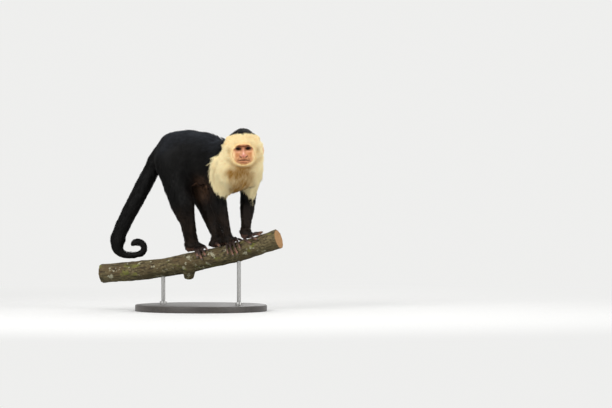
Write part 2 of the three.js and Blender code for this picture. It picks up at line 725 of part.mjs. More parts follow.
function standBase() {
  const { radius, thickness, edge } = stand;
  const outline = [[0, 0], [radius, 0], [radius, thickness - edge]];
  const steps = 2;
  for (let i = 1; i <= steps; i++) {
    const angle = (Math.PI / 2) * (i / steps);
    outline.push([
      radius - edge + edge * Math.cos(angle), thickness - edge + edge * Math.sin(angle)]);
  }
  outline.push([0, thickness]);
  const profile = outline.map(([r, z]) => new THREE.Vector2(r, z));
  return solidOf(new THREE.LatheGeometry(profile, 32).rotateX(Math.PI / 2));
}

function standRod(x, wood) {
  const foot = perchAxis(x);
  const length = foot.z - stand.thickness - gap;
  const rod = new THREE.CylinderGeometry(stand.rodRadius, stand.rodRadius, length, 14)
    .rotateX(Math.PI / 2)
    .translate(foot.x, foot.y, stand.thickness + gap + length / 2);
  return solidOf(rod).subtract(wood);
}

// ---- the model ---------------------------------------------------------------------------

const model = new THREE.Group();

function addNode(name, solid, material) {
  const bodies = solid.decompose();
  bodies.sort((a, b) => b.volume() - a.volume());
  const mesh = new THREE.Mesh(geometryOf(bodies[0]), material);
  mesh.name = name;
  model.add(mesh);
}

const headPieces = ["head", "face", "neck"];
const creamNodes = [...headPieces, "chest", "right_upper_arm", "left_upper_arm"];
const grownWood = perchSolid(gap);
const sides = [["right", -1], ["left", 1]];
const headFittings = sides.flatMap(([, s]) => [eyeSolid(s, gap), earSolid(s, gap)]);

const without = (solid, others) => others.reduce((rest, other) => rest.subtract(other), solid);

function addDigits(name, digits) {
  const kind = name.endsWith("hand") ? "finger" : "toe";
  digits.forEach((digit, n) => {
    const earlier = digits.slice(0, n).map((other) => digitSolid(other, gap));
    addNode(`${name}_${kind}_${n + 1}`, without(digitSolid(digit), earlier), coat.hand);
  });
}

for (const piece of fleshPieces) {
  const { name } = piece;
  const digits = extremities[name]?.digits ?? [];
  const others = (piece.without ?? []).map((other) => other(gap));
  if (digits.length) {
    others.push(grownWood, ...digits.map((digit) => digitSolid(digit, gap)));
  }
  if (headPieces.includes(name)) {
    others.push(...headFittings);
  }
  const solid = without(sourceSolid(piece.source).intersect(piece.cut(0)), others);
  const light = creamNodes.includes(name) ? coat.cream : coat.black;
  addNode(name, solid, digits.length ? coat.hand : light);
  addDigits(name, digits);
}

for (const [label, s] of sides) {
  addNode(`${label}_eye`, eyeSolid(s), coat.eye);
  addNode(`${label}_ear`, earSolid(s), coat.ear);
}

addNode("perch_branch", perchSolid(), coat.bark);
addNode("stand_base", standBase(), coat.base);
stand.rodPlaces.forEach((x, n) => addNode(`stand_rod_${n + 1}`, standRod(x, grownWood), coat.rod));

export default model;
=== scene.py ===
# A life-size white-faced capuchin monkey on a cut branch, held by a plain display stand.
import math

import bmesh
import bpy
import numpy as np
from mathutils import Euler, Matrix, Vector, noise
from mathutils.bvhtree import BVHTree
from mathutils.kdtree import KDTree


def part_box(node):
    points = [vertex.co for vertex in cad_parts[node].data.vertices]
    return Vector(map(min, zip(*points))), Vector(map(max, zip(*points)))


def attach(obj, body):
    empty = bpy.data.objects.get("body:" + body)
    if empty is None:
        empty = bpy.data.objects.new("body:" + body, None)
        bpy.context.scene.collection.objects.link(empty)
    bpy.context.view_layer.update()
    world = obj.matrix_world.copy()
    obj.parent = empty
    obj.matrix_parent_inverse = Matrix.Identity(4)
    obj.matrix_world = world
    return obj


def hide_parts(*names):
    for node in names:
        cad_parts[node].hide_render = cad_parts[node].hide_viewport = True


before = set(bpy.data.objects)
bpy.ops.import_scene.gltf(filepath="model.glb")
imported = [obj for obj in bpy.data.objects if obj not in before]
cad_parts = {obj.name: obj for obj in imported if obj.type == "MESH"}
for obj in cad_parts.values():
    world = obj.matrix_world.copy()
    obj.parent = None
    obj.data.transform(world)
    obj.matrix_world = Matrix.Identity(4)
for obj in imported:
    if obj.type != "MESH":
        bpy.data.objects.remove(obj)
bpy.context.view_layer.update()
scene = bpy.context.scene
mm = 0.001


def newObject(name, mesh, material=None):
    piece = bpy.data.objects.new(name, mesh)
    scene.collection.objects.link(piece)
    if material:
        mesh.materials.append(material)
    return piece


def meshFromBmesh(bm, name, smooth=True):
    mesh = bpy.data.meshes.new(name)
    bm.to_mesh(mesh)
    bm.free()
    if smooth:
        mesh.shade_smooth()
    return mesh


# A copy of a CAD node, with its loose triangles joined up.
def nodeCopy(name):
    bm = bmesh.new()
    bm.from_mesh(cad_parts[name].data)
    bmesh.ops.remove_doubles(bm, verts=bm.verts, dist=0.02 * mm)
    return bm


# The mesh that a modifier makes of a piece; the piece itself is dropped.
def meshAfter(piece, kind, **settings):
    modifier = piece.modifiers.new(kind, kind)
    for key, value in settings.items():
        setattr(modifier, key, value)
    shown = piece.evaluated_get(bpy.context.evaluated_depsgraph_get())
    mesh = bpy.data.meshes.new_from_object(shown)
    bpy.data.objects.remove(piece)
    return mesh


def readValues(source, key, width, kind=float):
    values = np.empty(len(source) * width, kind)
    source.foreach_get(key, values)
    return values.reshape(-1, width)


def pointsOf(mesh):
    return readValues(mesh.vertices, "co", 3)


def normalsOf(mesh):
    return readValues(mesh.vertex_normals, "vector", 3, np.float32).astype(float)


def edgesOf(mesh):
    return readValues(mesh.edges, "vertices", 2, np.int32)


def setPoints(mesh, points):
    mesh.vertices.foreach_set("co", np.ascontiguousarray(points, np.float32).ravel())
    mesh.update()


def setNumber(mesh, name, values):
    layer = mesh.attributes.new(name, "FLOAT", "POINT")
    layer.data.foreach_set("value", np.ascontiguousarray(values, np.float32))


def unit(vectors):
    return vectors / np.maximum(np.linalg.norm(vectors, axis=-1, keepdims=True), 1e-9)


def dot(first, second):
    return np.einsum("ij,ij->i", first, second)


def distances(vectors):
    return np.linalg.norm(vectors, axis=1)


def smoothStep(low, high, value):
    t = np.clip((value - low) / (high - low), 0, 1)
    return t * t * (3 - 2 * t)


def bell(value, width):
    return np.exp(-((value / width) ** 2))


def bumpAt(x, z, x0, z0, wide, tall):
    return np.exp(-(((x - x0) / wide) ** 2) - ((z - z0) / tall) ** 2)


def noiseAt(points, size, shift=0.0):
    scaled = (points / (size * mm) + shift).tolist()
    return np.array([noise.noise(Vector(p)) for p in scaled])


# Moves each value towards the mean of its neighbours along the edges.
def relaxed(values, edges, rate, rounds, backRate=None):
    first, second = edges.T
    count = len(values)
    links = np.maximum(np.bincount(edges.ravel(), minlength=count), 1)[:, None]
    flat = values.reshape(count, -1).copy()
    rate = np.broadcast_to(rate, (count,))[:, None]
    for turn in range(rounds):
        total = np.empty_like(flat)
        for column in range(flat.shape[1]):
            line = flat[:, column]
            total[:, column] = np.bincount(first, line[second], count)
            total[:, column] += np.bincount(second, line[first], count)
        step = rate if backRate is None or turn % 2 == 0 else rate * backRate
        flat += step * (total / links - flat)
    return flat.reshape(values.shape)


# The camera

stage = {
    "lens": 500,
    "distance": 21.25,
    "aim": (0.2625, 0.0, 0.2675),
    "elevation": 1.5,
    "background": (0.86, 0.86, 0.85),
    "floorColour": (0.80, 0.80, 0.79),
}


def makeCamera():
    data = bpy.data.cameras.new("camera")
    data.lens = stage["lens"]
    data.sensor_width = 36
    camera = bpy.data.objects.new("camera", data)
    scene.collection.objects.link(camera)
    tilt = math.radians(stage["elevation"])
    back = Vector((0, -math.cos(tilt), math.sin(tilt)))
    camera.location = Vector(stage["aim"]) + back * stage["distance"]
    camera.rotation_euler = (-back).to_track_quat("-Z", "Y").to_euler()
    data.clip_end = 200
    scene.camera = camera


makeCamera()
print("stage done")

# The head's own frame: lateral, backward and upward millimetres from between the eyes

head = {
    "centre": np.array((0.1065, -0.120, 0.4075)),
    "turn": (-3, -2.5, 0.5),
    "eyeSpread": 12.3,
    "eyeDepth": -23.0,
    "eyeRadius": 9.0,
}
headTurn = np.array(Euler([math.radians(a) for a in head["turn"]], "XYZ").to_matrix())


def toHead(points):
    return (points - head["centre"]) @ headTurn / mm


def fromHead(points):
    return points * mm @ headTurn.T + head["centre"]


# Skin

skinShape = {
    "voxel": 1.5 * mm,
    "gapCover": 0.35 * mm,
    "lidCover": 1.5,  # how far the filling over an eye stands out from it, in millimetres
    "fineRate": 0.10,  # how strongly the hands, feet and ears are smoothed
    "faceRate": 0.25,
    "bodyRate": 0.5,
    "bodyRounds": 160,
    "backRate": -1.04,  # every second round swells the form again
    "thinFaces": 0.30,
    "fillers": (((-47, 22, 352), (42, 32, 38)), ((62, -44, 330), (36, 30, 32))),
}
# How deep the skin lies under the tips of the coat, in millimetres.
coatDepth = {
    "pelvis": 8, "belly": 8, "chest": 9, "neck": 8.5, "head": 6.5, "crown_cap": 3.5, "face": 0.5,
    "thigh": 8, "shank": 6, "upper_arm": 7, "forearm": 5.5, "hand": 1.2, "foot": 1.5,
    "finger": 0.3, "toe": 0.3, "tail_root": 7.5, "tail_upper": 7, "tail_lower": 6.5,
    "tail_curl": 4.5, "tail_tip": 4.5, "ear": 0.3,
}
headKinds = ("head", "crown_cap", "face", "ear")
trunkKinds = ("pelvis", "belly", "chest", "neck")
digitKinds = ("finger", "toe")
fineKinds = ("finger", "toe", "hand", "foot", "ear")
notFlesh = ("eye", "perch", "stand")
fleshNodes = [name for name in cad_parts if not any(word in name for word in notFlesh)]


def kindOf(node):
    for kind in digitKinds:
        if kind in node:
            return kind
    return next(kind for kind in coatDepth if node.endswith(kind))


def isKind(kinds):
    return np.array([kindOf(name) in kinds for name in fleshNodes])


def fleshCopy(grow):
    whole = bmesh.new()
    owner = []
    for place, name in enumerate(fleshNodes):
        bm = nodeCopy(name)
        bm.normal_update()
        for vert in bm.verts:
            vert.co += vert.normal * grow
        part = meshFromBmesh(bm, "part")
        whole.from_mesh(part)
        owner += [place] * len(part.polygons)
        bpy.data.meshes.remove(part)
    return whole, np.array(owner)


# The outermost shell of a mesh, without the hollows that are closed off inside it.
def outerShell(mesh):
    bm = bmesh.new()
    bm.from_mesh(mesh)
    top = max(bm.verts, key=lambda vert: vert.co.z)
    seen, waiting = {top}, [top]
    while waiting:
        vert = waiting.pop()
        for edge in vert.link_edges:
            other = edge.other_vert(vert)
            if other not in seen:
                seen.add(other)
                waiting.append(other)
    inner = [vert for vert in bm.verts if vert not in seen]
    print("inner hollows hold", len(inner), "vertices")
    bmesh.ops.delete(bm, geom=inner, context="VERTS")
    return meshFromBmesh(bm, mesh.name)


def makeSkinMesh():
    whole, owner = fleshCopy(skinShape["gapCover"])
    tree = BVHTree.FromBMesh(whole)
    fillers = list(skinShape["fillers"])
    for side in (-1, 1):  # over the eyes, so that the lids are worked from a closed surface
        eye = fromHead(np.array([(side * head["eyeSpread"], head["eyeDepth"], 0)]))[0] / mm
        fillers.append((tuple(eye), (head["eyeRadius"] + skinShape["lidCover"],) * 3))
    for place, radii in fillers:
        spot = Matrix.Translation(Vector(place) * mm) @ Matrix.Diagonal((*(Vector(radii) * mm), 1))
        bmesh.ops.create_icosphere(whole, subdivisions=3, radius=1, matrix=spot)
    rough = newObject("rough", meshFromBmesh(whole, "rough"))
    mesh = outerShell(meshAfter(rough, "REMESH", mode="VOXEL", voxel_size=skinShape["voxel"]))
    outer, edges = pointsOf(mesh), edgesOf(mesh)
    label = owner[[tree.find_nearest(Vector(p))[2] for p in outer]]
    depth = np.array([coatDepth[kindOf(name)] for name in fleshNodes])[label] * mm
    depth = np.where(isKind(("ear",))[label], depth, relaxed(depth, edges, 0.5, 30))
    rate = np.where(isKind(("face",))[label], skinShape["faceRate"], skinShape["bodyRate"])
    rate = np.where(isKind(fineKinds)[label], skinShape["fineRate"], rate)
    rate = relaxed(rate, edges, 0.5, 8)
    smooth = relaxed(outer, edges, rate, skinShape["bodyRounds"], skinShape["backRate"])
    smooth = relaxed(smooth, edges, rate, 12)
    setPoints(mesh, smooth)
    normals = normalsOf(mesh)
    sunk = dot(outer - smooth, normals)
    push = relaxed(depth + skinShape["gapCover"] - sunk, edges, 0.5, 25)
    setPoints(mesh, smooth - normals * push[:, None])
    return mesh, label, depth


# The face, as a depth in front of the head's centre for each place across and up it

faceShape = {
    "mask": ((0, -17, -5), (31, 15, 37)),
    "cheeks": ((17, -18.5, -15), (13, 12, 15)),
    "muzzle": ((0, -27, -27), (18.5, 15, 14)),
    "chin": ((0, -25, -39.5), (14.5, 12, 9.5)),
    "outline": (29, 34),
    "outlineHeight": -14,
    "browHeight": 7.2,
    "mouthHeight": -29.6,
    "lidThickness": 0.9,
    "eyeHalfWidth": 6.3,
    "upperLid": 2.8,
    "lowerLid": 3.3,
    "eyeSlant": 7,
    "nostril": (6.8, -21.5),
    "nostrilSlant": 38,
    "sunk": -17.0,
    "snap": 0.26,
}


def domeFront(x, z, centre, radii):
    inside = 1 - ((x - centre[0]) / radii[0]) ** 2 - ((z - centre[2]) / radii[2]) ** 2
    front = centre[1] - radii[1] * np.sqrt(np.maximum(inside, 0))
    return np.where(inside > 0, front, centre[1] - 9 * inside)


def softMin(a, b, blend):
    h = np.maximum(blend - np.abs(a - b), 0) / blend
    return np.minimum(a, b) - h * h * blend / 4


def slanted(across, upward, degrees):
    angle = math.radians(degrees)
    u = across * math.cos(angle) + upward * math.sin(angle)
    v = upward * math.cos(angle) - across * math.sin(angle)
    return u, v


# Distance in the plane of the face to the edge of an eye's opening, negative inside it.
def eyeOpening(x, z, side):
    u, v = slanted(x - side * head["eyeSpread"], z, faceShape["eyeSlant"] * side)
    halfWidth = faceShape["eyeHalfWidth"]
    edge = np.full_like(u, -1e9)
    for height, sign in ((faceShape["upperLid"], -1), (faceShape["lowerLid"], 1)):
        radius = (halfWidth**2 + height**2) / (2 * height)
        edge = np.maximum(edge, np.hypot(u, v - sign * (radius - height)) - radius)
    return edge


def openingBoth(x, z):
    return np.minimum(eyeOpening(x, z, -1), eyeOpening(x, z, 1))


def mouthLine(x):
    return faceShape["mouthHeight"] - 0.004 * x * x + 0.5 * bell(np.abs(x) - 5.5, 3)


# The nostrils open sideways, in slits that rise outwards.
def nostrilAt(x, z):
    across, upward = faceShape["nostril"]
    u, v = slanted(np.abs(x) - across, z - upward, faceShape["nostrilSlant"])
    return np.exp(-((u / 2.7) ** 2) - (v / 1.3) ** 2)


# How far each place lies from the fold that runs down beside the muzzle.
def muzzleFold(x, z):
    return np.abs(x) - (9.5 + 0.5 * np.maximum(-19 - z, 0))


def faceFront(x, z):
    wide = np.abs(x)
    y = domeFront(x, z, *faceShape["mask"])
    y = softMin(y, domeFront(wide, z, *faceShape["cheeks"]), 5)
    y = softMin(y, domeFront(x, z, *faceShape["chin"]), 4)
    y = softMin(y, domeFront(x, z, *faceShape["muzzle"]), 5)
    browHeight = faceShape["browHeight"] + 0.006 * x * x
    y -= 5.2 * bell(z - browHeight, 3.2) * (1 - smoothStep(17, 27, wide))
    y += 1.1 * bumpAt(x, z, 0, 8, 1.6, 3.4)  # the furrow between the brows
    y += 4.6 * bumpAt(wide, z, head["eyeSpread"], 0, 8.5, 6.0)  # sockets
    y += 1.8 * bumpAt(wide, z, 6.0, -3, 3, 5)  # inner corners, beside the nose
    noseRise = 1.8 + 5.4 * smoothStep(5, -16, z)
    noseRise *= 1 - smoothStep(-18.5, -25.0, z)
    noseWidth = 3.4 + 4.2 * smoothStep(-4, -17, z)
    y -= noseRise * bell(x, noseWidth) * 0.9
    y -= 3.4 * bumpAt(wide, z, 7.6, -19.4, 2.9, 3.2)  # the wings of the nose
    y += 4.4 * nostrilAt(x, z)
    y += 0.9 * bumpAt(x, z, 0, -21, 1.6, 3.4)  # the groove between the nostrils
    y += 1.2 * bumpAt(wide, z, 11.4, -18.5, 1.3, 4.0)  # behind the wings
    y += 1.1 * bumpAt(x, z, 0, -25.8, 1.3, 2.4)  # the groove of the upper lip
    y -= 1.5 * bumpAt(wide, z, 5.5, -27.0, 5.5, 2.0)  # the upper lip
    overMouth = z - mouthLine(x)
    y += 2.4 * bell(overMouth, 1.3 - 0.045 * wide) * (1 - smoothStep(12.0, 15.0, wide))
    y -= 4.4 * bell(overMouth + 4.2, 2.9) * (1 - smoothStep(7, 14.5, wide))  # the lower lip
    y += 2.2 * bell(overMouth + 9.4, 1.6) * (1 - smoothStep(6, 14, wide))
    y += 1.1 * bell(muzzleFold(x, z), 1.8) * bumpAt(0, z, 0, -25, 1, 7)
    reach = np.hypot(wide - head["eyeSpread"], z)
    y += 0.45 * bell(reach - 10.2, 0.9) * smoothStep(1, -4, z)  # under the eyes
    y += 0.22 * np.sin(z * 2.6 + 0.02 * x * x) * bumpAt(x, z, 0, 12, 18, 4)  # forehead lines
    ball = head["eyeRadius"] + faceShape["lidThickness"]
    lid = head["eyeDepth"] - np.sqrt(np.maximum(ball**2 - reach**2, 0))
    y = np.where(reach < ball, softMin(y, lid, 1.2), y)
    opening = openingBoth(x, z)
    y -= 0.35 * bell(opening - 0.7, 0.7)  # the rims of the lids
    y += 0.5 * bell(opening - 2.4, 0.6) * smoothStep(0, 3, z)  # upper lid fold
    return np.where(opening < -1e-3, faceShape["sunk"], y)


def faceEdge(x, z):
    wide, tall = faceShape["outline"]
    return np.hypot(x / wide, (z - faceShape["outlineHeight"]) / tall)


def subdivideWhere(mesh, test):
    bm = bmesh.new()
    bm.from_mesh(mesh)
    centres = np.array([face.calc_center_median() for face in bm.faces])
    bm.faces.ensure_lookup_table()
    chosen = np.nonzero(test(toHead(centres)))[0]
    edges = list({edge for index in chosen for edge in bm.faces[index].edges})
    bmesh.ops.subdivide_edges(bm, edges=edges, cuts=1, use_grid_fill=True)
    bmesh.ops.triangulate(bm, faces=bm.faces)
    bm.to_mesh(mesh)
    bm.free()


def inFace(local):
    x, y, z = local.T
    return (faceEdge(x, z) < 1.1) & ((y < -8) | ((y < 5) & (openingBoth(x, z) < 7)))


def inFeatures(local):
    x, z = local[:, 0], local[:, 2]
    eyes = openingBoth(x, z) < 2.5
    return inFace(local) & (eyes | ((np.abs(x) < 16) & (z < -14) & (z > -38)))


def nearLids(local):
    return inFace(local) & (np.abs(openingBoth(local[:, 0], local[:, 2])) < 1.0)


def sculptFace(mesh):
    local = toHead(pointsOf(mesh))
    x, z = local[:, 0].copy(), local[:, 2].copy()
    front = inFace(local)
    for side in (-1, 1):  # vertices near a lid's edge slide onto it
        step = 0.02
        opening = eyeOpening(x, z, side)
        slopeX = (eyeOpening(x + step, z, side) - opening) / step
        slopeZ = (eyeOpening(x, z + step, side) - opening) / step
        near = front & (np.abs(opening) < faceShape["snap"])
        x[near] -= (opening * slopeX)[near]
        z[near] -= (opening * slopeZ)[near]
    depth = faceFront(x, z)
    share = np.where(front, 1 - smoothStep(0.84, 1.06, faceEdge(x, z)), 0)
    share *= np.maximum(smoothStep(-8, -12, local[:, 1]), smoothStep(7, 5, openingBoth(x, z)))
    local[:, 0], local[:, 2] = x, z
    local[:, 1] += (depth - local[:, 1]) * share
    setPoints(mesh, fromHead(local))


def thinned(mesh, keep, ratio):
    piece = newObject("thinned", mesh)
    group = piece.vertex_groups.new(name="thin")
    group.add(np.nonzero(keep)[0].tolist(), 0.0, "REPLACE")
    group.add(np.nonzero(~keep)[0].tolist(), 1.0, "REPLACE")
    return meshAfter(piece, "DECIMATE", ratio=ratio, vertex_group="thin")


def nearestOf(points, queries):
    tree = KDTree(len(points))
    for place, point in enumerate(points):
        tree.insert(point, place)
    tree.balance()
    return np.array([tree.find(query)[1] for query in queries])


# The thinned skin, with the face worked into it, and what every place of it carries.
denseMesh, denseLabel, denseDepth = makeSkinMesh()
densePoints = pointsOf(denseMesh)
keepFine = isKind(fineKinds)[denseLabel] | inFace(toHead(densePoints))
skinMesh = thinned(denseMesh, keepFine, skinShape["thinFaces"])
for test in (inFace, inFeatures, nearLids):
    subdivideWhere(skinMesh, test)
sculptFace(skinMesh)
skinMesh.shade_smooth()
skinPoints = pointsOf(skinMesh)
skinEdges = edgesOf(skinMesh)
owner = nearestOf(densePoints, skinPoints)
label, depth = denseLabel[owner], denseDepth[owner]
print("skin shaped,", len(skinMesh.polygons), "faces")


def softKind(kinds, rounds=12):
    return relaxed(isKind(kinds)[label].astype(float), skinEdges, 0.5, rounds)


body = {
    "chest": np.array((86.0, -56.0, 358.0)),
    "facing": np.array((0.707, -0.707, 0.0)),
    "leftward": np.array((0.707, 0.707, 0.0)),
    "rearward": np.array((-0.857, 0.515, 0.0)),
    "curlCentre": np.array((-160.0, 66.0, 156.5)),
    "faceCentre": np.array((0.0, -48.0, -6.0)),
}


def middle(node):
    low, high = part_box(node)
    return (np.array(low) + np.array(high)) / 2


# The middle of the hand or foot that a finger or toe grows from.
def palmOf(digit):
    return middle("_".join(digit.split("_")[:2]))


# The way the hair of each node lies, before the regions are blended.
def nodeLie(name):
    side = name.split("_")[0]
    following = {"upper_arm": "forearm", "forearm": "hand", "thigh": "shank", "shank": "foot"}
    chain = {"tail_root": "tail_upper", "tail_upper": "tail_lower"}
    kind = kindOf(name)
    if kind in following:
        return middle(f"{side}_{following[kind]}") - middle(name)
    if kind in chain:
        return middle(chain[kind]) - middle(name)
    if kind == "tail_lower":
        return np.array((-0.3, 0.05, -1.0))
    if kind in ("hand", "foot"):
        digits = [n for n in fleshNodes if n.startswith(name + "_")]
        return np.mean([middle(n) for n in digits], axis=0) - middle(name)
    if kind in digitKinds:
        return middle(name) - palmOf(name)
    return np.array((0.0, 0.0, -1.0))


def hairLie(normals):
    way = unit(np.array([nodeLie(name) for name in fleshNodes]))[label]
    points = skinPoints / mm
    ahead = (points - body["chest"]) @ body["facing"]
    flank = (1 - np.clip(normals[:, 2], 0, 1))[:, None]
    down = np.array((0.0, 0.0, -1.0))
    back = body["rearward"] * (1.0 - 0.25 * flank) + down * (0.15 + 0.6 * flank)
    front = down + 0.25 * body["rearward"]
    share = smoothStep(-45, 10, ahead)[:, None]
    trunk = back * (1 - share) + front * share
    isTrunk = isKind(trunkKinds)[label]
    way[isTrunk] = unit(trunk)[isTrunk]
    local = toHead(skinPoints)
    away = unit(local - body["faceCentre"])
    away[:, 2] -= 0.8 * smoothStep(0, 45, local[:, 1])
    isHead = isKind(headKinds)[label]
    way[isHead] = unit(away @ headTurn.T)[isHead]
    fromCurl = points - body["curlCentre"]
    turning = unit(np.stack((-fromCurl[:, 2], 0 * fromCurl[:, 0], fromCurl[:, 0]), axis=1))
    isCurl = isKind(("tail_curl", "tail_tip"))[label]
    way[isCurl] = turning[isCurl]
    way = relaxed(way, skinEdges, np.where(isCurl | isHead, 0.2, 0.5), 22)
    return unit(way - normals * dot(way, normals)[:, None])


marking = {
    # how far ahead of the chest's middle the cream begins, for heights from the belly to the nape
    "creamEdge": ((285, -12), (330, -22), (380, -20), (395, 0), (430, 18), (445, 26)),
    "creamFoot": 286,
    "capFront": 37.5,
}


# 1 where the coat is cream, 0 where it is black; half-way values are the mixed edges.
def creamOnTrunk(points):
    p = points / mm
    rel = p - body["chest"]
    ahead, across, z = rel @ body["facing"], rel @ body["leftward"], p[:, 2]
    ragged = 5 * noiseAt(points, 14) + 3 * noiseAt(points, 5, 7.0)
    heights, places = zip(*marking["creamEdge"])
    edge = np.interp(z, heights, places) + np.where(across > 0, 6, 0)
    front = smoothStep(-7, 7, ahead - edge + ragged)
    foot = marking["creamFoot"] - 12 * smoothStep(35, 60, np.abs(across))
    streaks = 17 * noiseAt(points * (1, 1, 0.25), 6, 2.0)
    x, y, up = toHead(points).T
    nape = smoothStep(18, 28, y) * smoothStep(34, 24, np.abs(x) + 0.25 * np.maximum(y - 40, 0))
    nape *= smoothStep(-34, -16, up + 0.5 * ragged)
    return front * (1 - nape) * smoothStep(-27, 15, z - foot + ragged + streaks)


def creamOnHead(points):
    x, y, z = toHead(points).T
    ragged = 1.2 * noiseAt(points, 6)
    capLine = marking["capFront"] - 0.0030 * x * x - 3.0 * bell(x, 3.5)
    capLine -= 0.30 * np.maximum(y - 6, 0)
    cap = smoothStep(-1.2, 1.6, z - capLine + ragged)
    cap *= smoothStep(3, -2, np.abs(x) - 31 - 1.2 * np.maximum(y - 14, 0) + ragged)
    nape = smoothStep(12, 24, y + ragged) * smoothStep(34, 24, np.abs(x))
    nape = np.maximum(nape, smoothStep(28, 38, y)) * smoothStep(-34, -14, z)
    return 1 - np.maximum(cap, nape)


# The ochre of the beard, the cheeks, the throat and the breast; under the chin the throat's ochre is
# also a painted shadow.
def ochreAt(points):
    x, y, z = toHead(points).T
    wide = np.abs(x)
    p = points / mm
    beard = bell(np.hypot(wide, (z + 6) * 1.02) - 42, 4.2) * smoothStep(-8, -30, z)
    streak = bumpAt(wide, z, 35, -4, 2.6, 9) * smoothStep(20, 0, y)
    # under the chin: the hair's ochre, with painted shadow beneath the jaw
    throat = np.maximum(bumpAt(x, z, 0, -66, 26, 17), bumpAt(x, z, -36, -56, 13, 10))
    throat *= smoothStep(10, -10, y)
    breast = np.exp(-(((p[:, 0] - 101) / 30) ** 4)) * smoothStep(-45, -66, p[:, 1])
    breast *= smoothStep(284, 304, p[:, 2]) * smoothStep(372, 345, p[:, 2])
    locks = 0.5 + 0.9 * noiseAt(points * (1, 1, 0.3), 7, 3.0)
    aboveEyes = bumpAt(wide, z, 14, 12, 9, 4) * smoothStep(0, -10, y)
    total = 0.5 * beard + 0.7 * streak + 0.3 * aboveEyes + 0.95 * throat
    return np.clip(total + 1.2 * breast * (0.45 + locks), 0, 1)


# The brown of the lower limbs and the warm patch where the belly meets the groin.
def warmAt(points, limb):
    x, y, z = (points / mm).T
    patch = bumpAt(x, z, 2, 306, 20, 26) * smoothStep(60, -10, y)
    return 0.85 * (limb * smoothStep(290, 215, z)), patch


headShare = softKind(headKinds, 6)
limbShare = softKind(("forearm", "shank", "hand", "foot", *digitKinds), 14)
skinNormals = normalsOf(skinMesh)
lie = hairLie(skinNormals)
cream = creamOnTrunk(skinPoints) * (1 - headShare) + creamOnHead(skinPoints) * headShare
warm, patch = warmAt(skinPoints, limbShare)
# Painted sheen: where the skin faces upwards on the trunk, the tail's root and the thighs, the black
# coat's tips turn blue-grey, in place of the sky's reflection.
painted_sheen = smoothStep(0.25, 0.95, skinNormals[:, 2]) * softKind((*trunkKinds, "tail_root", "thigh"))
painted_sheen = relaxed(painted_sheen, skinEdges, 0.5, 12)
marks = {"ochre": ochreAt(skinPoints), "warm": warm, "patch": patch, "painted_sheen": painted_sheen}
print("markings placed")

# Shaders


def tone(red, green, blue):
    parts = [v / 255 for v in (red, green, blue)]
    return (*(v / 12.92 if v <= 10 / 255 else ((v + 0.055) / 1.055) ** 2.4 for v in parts), 1)


def newGroup(name, inputs, outputs):
    group = bpy.data.node_groups.new(name, "ShaderNodeTree")
    for direction, sockets in (("INPUT", inputs), ("OUTPUT", outputs)):
        for title, value in sockets.items():
            kind = "NodeSocketColor" if isinstance(value, tuple) else "NodeSocketFloat"
            socket = group.interface.new_socket(title, in_out=direction, socket_type=kind)
            if direction == "INPUT":
                socket.default_value = value
    start = group.nodes.new("NodeGroupInput")
    end = group.nodes.new("NodeGroupOutput")
    return group, start.outputs, end.inputs


# A tree of nodes with short ways to add to it. An input is given by its name, or by i and its place.
class Nodes:
    def __init__(self, tree):
        self.tree = tree

    def add(self, kind, settings=None, **inputs):
        node = self.tree.nodes.new("ShaderNode" + kind)
        for key, value in (settings or {}).items():
            setattr(node, key, value)
        for key, value in inputs.items():
            byPlace = key[0] == "i" and key[1:].isdigit()
            self.feed(node.inputs[int(key[1:]) if byPlace else key], value)
        return node

    def feed(self, socket, value):
        if isinstance(value, bpy.types.NodeSocket):
            self.tree.links.new(value, socket)
        else:
            socket.default_value = value

    def math(self, operation, *values):
        inputs = {f"i{n}": value for n, value in enumerate(values)}
        return self.add("Math", {"operation": operation}, **inputs).outputs[0]

    def times(self, first, second):
        return self.math("MULTIPLY", first, second)

    def plus(self, first, second):
        return self.math("ADD", first, second)

    def mix(self, share, first, second, blend="MIX"):
        settings = {"data_type": "RGBA", "blend_type": blend}
        return self.add("Mix", settings, i0=share, i6=first, i7=second).outputs[2]

    def ramp(self, value, low, high, start=0.0, end=1.0):
        settings = {"interpolation_type": "SMOOTHSTEP"}
        return self.add("MapRange", settings, i0=value, i1=low, i2=high, i3=start, i4=end).outputs[0]

    def number(self, name):
        return self.add("Attribute", {"attribute_name": name}).outputs["Fac"]

    def places(self, scale=(1, 1, 1), turn=(0, 0, 0)):
        coordinates = self.add("TexCoord").outputs["Object"]
        return self.add("Mapping", Vector=coordinates, Scale=scale, Rotation=turn).outputs[0]

    def noise(self, vector, scale, detail=2.0, roughness=0.5, distortion=0.0):
        return self.add("TexNoise", Vector=vector, Scale=scale, Detail=detail,
                        Roughness=roughness, Distortion=distortion).outputs[0]

    def emboss(self, put, height, strength, distance):
        relief = self.add("Bump", Strength=strength, Distance=distance, Height=height)
        self.feed(put["Normal"], relief.outputs[0])


def newMaterial(name, roughness, **constants):
    material = bpy.data.materials.new(name)
    material.use_nodes = True
    shader = material.node_tree.nodes["Principled BSDF"]
    shader.inputs["Roughness"].default_value = roughness
    for key, value in constants.items():
        shader.inputs[key.replace("_", " ")].default_value = value
    return material, Nodes(material.node_tree), shader.inputs


coatTones = {
    "Black root": tone(5, 5, 5),
    "Black tip": tone(15, 14, 13),
    # a painted sheen, for the black coat's tips where they face upwards
    "Painted sheen tip": tone(68, 72, 80),
    "Cream root": tone(232, 178, 98),
    "Cream tip": tone(255, 238, 188),
    "Ochre": tone(150, 100, 20),
    "Brown": tone(56, 42, 31),
    "Patch": tone(126, 94, 72),
}


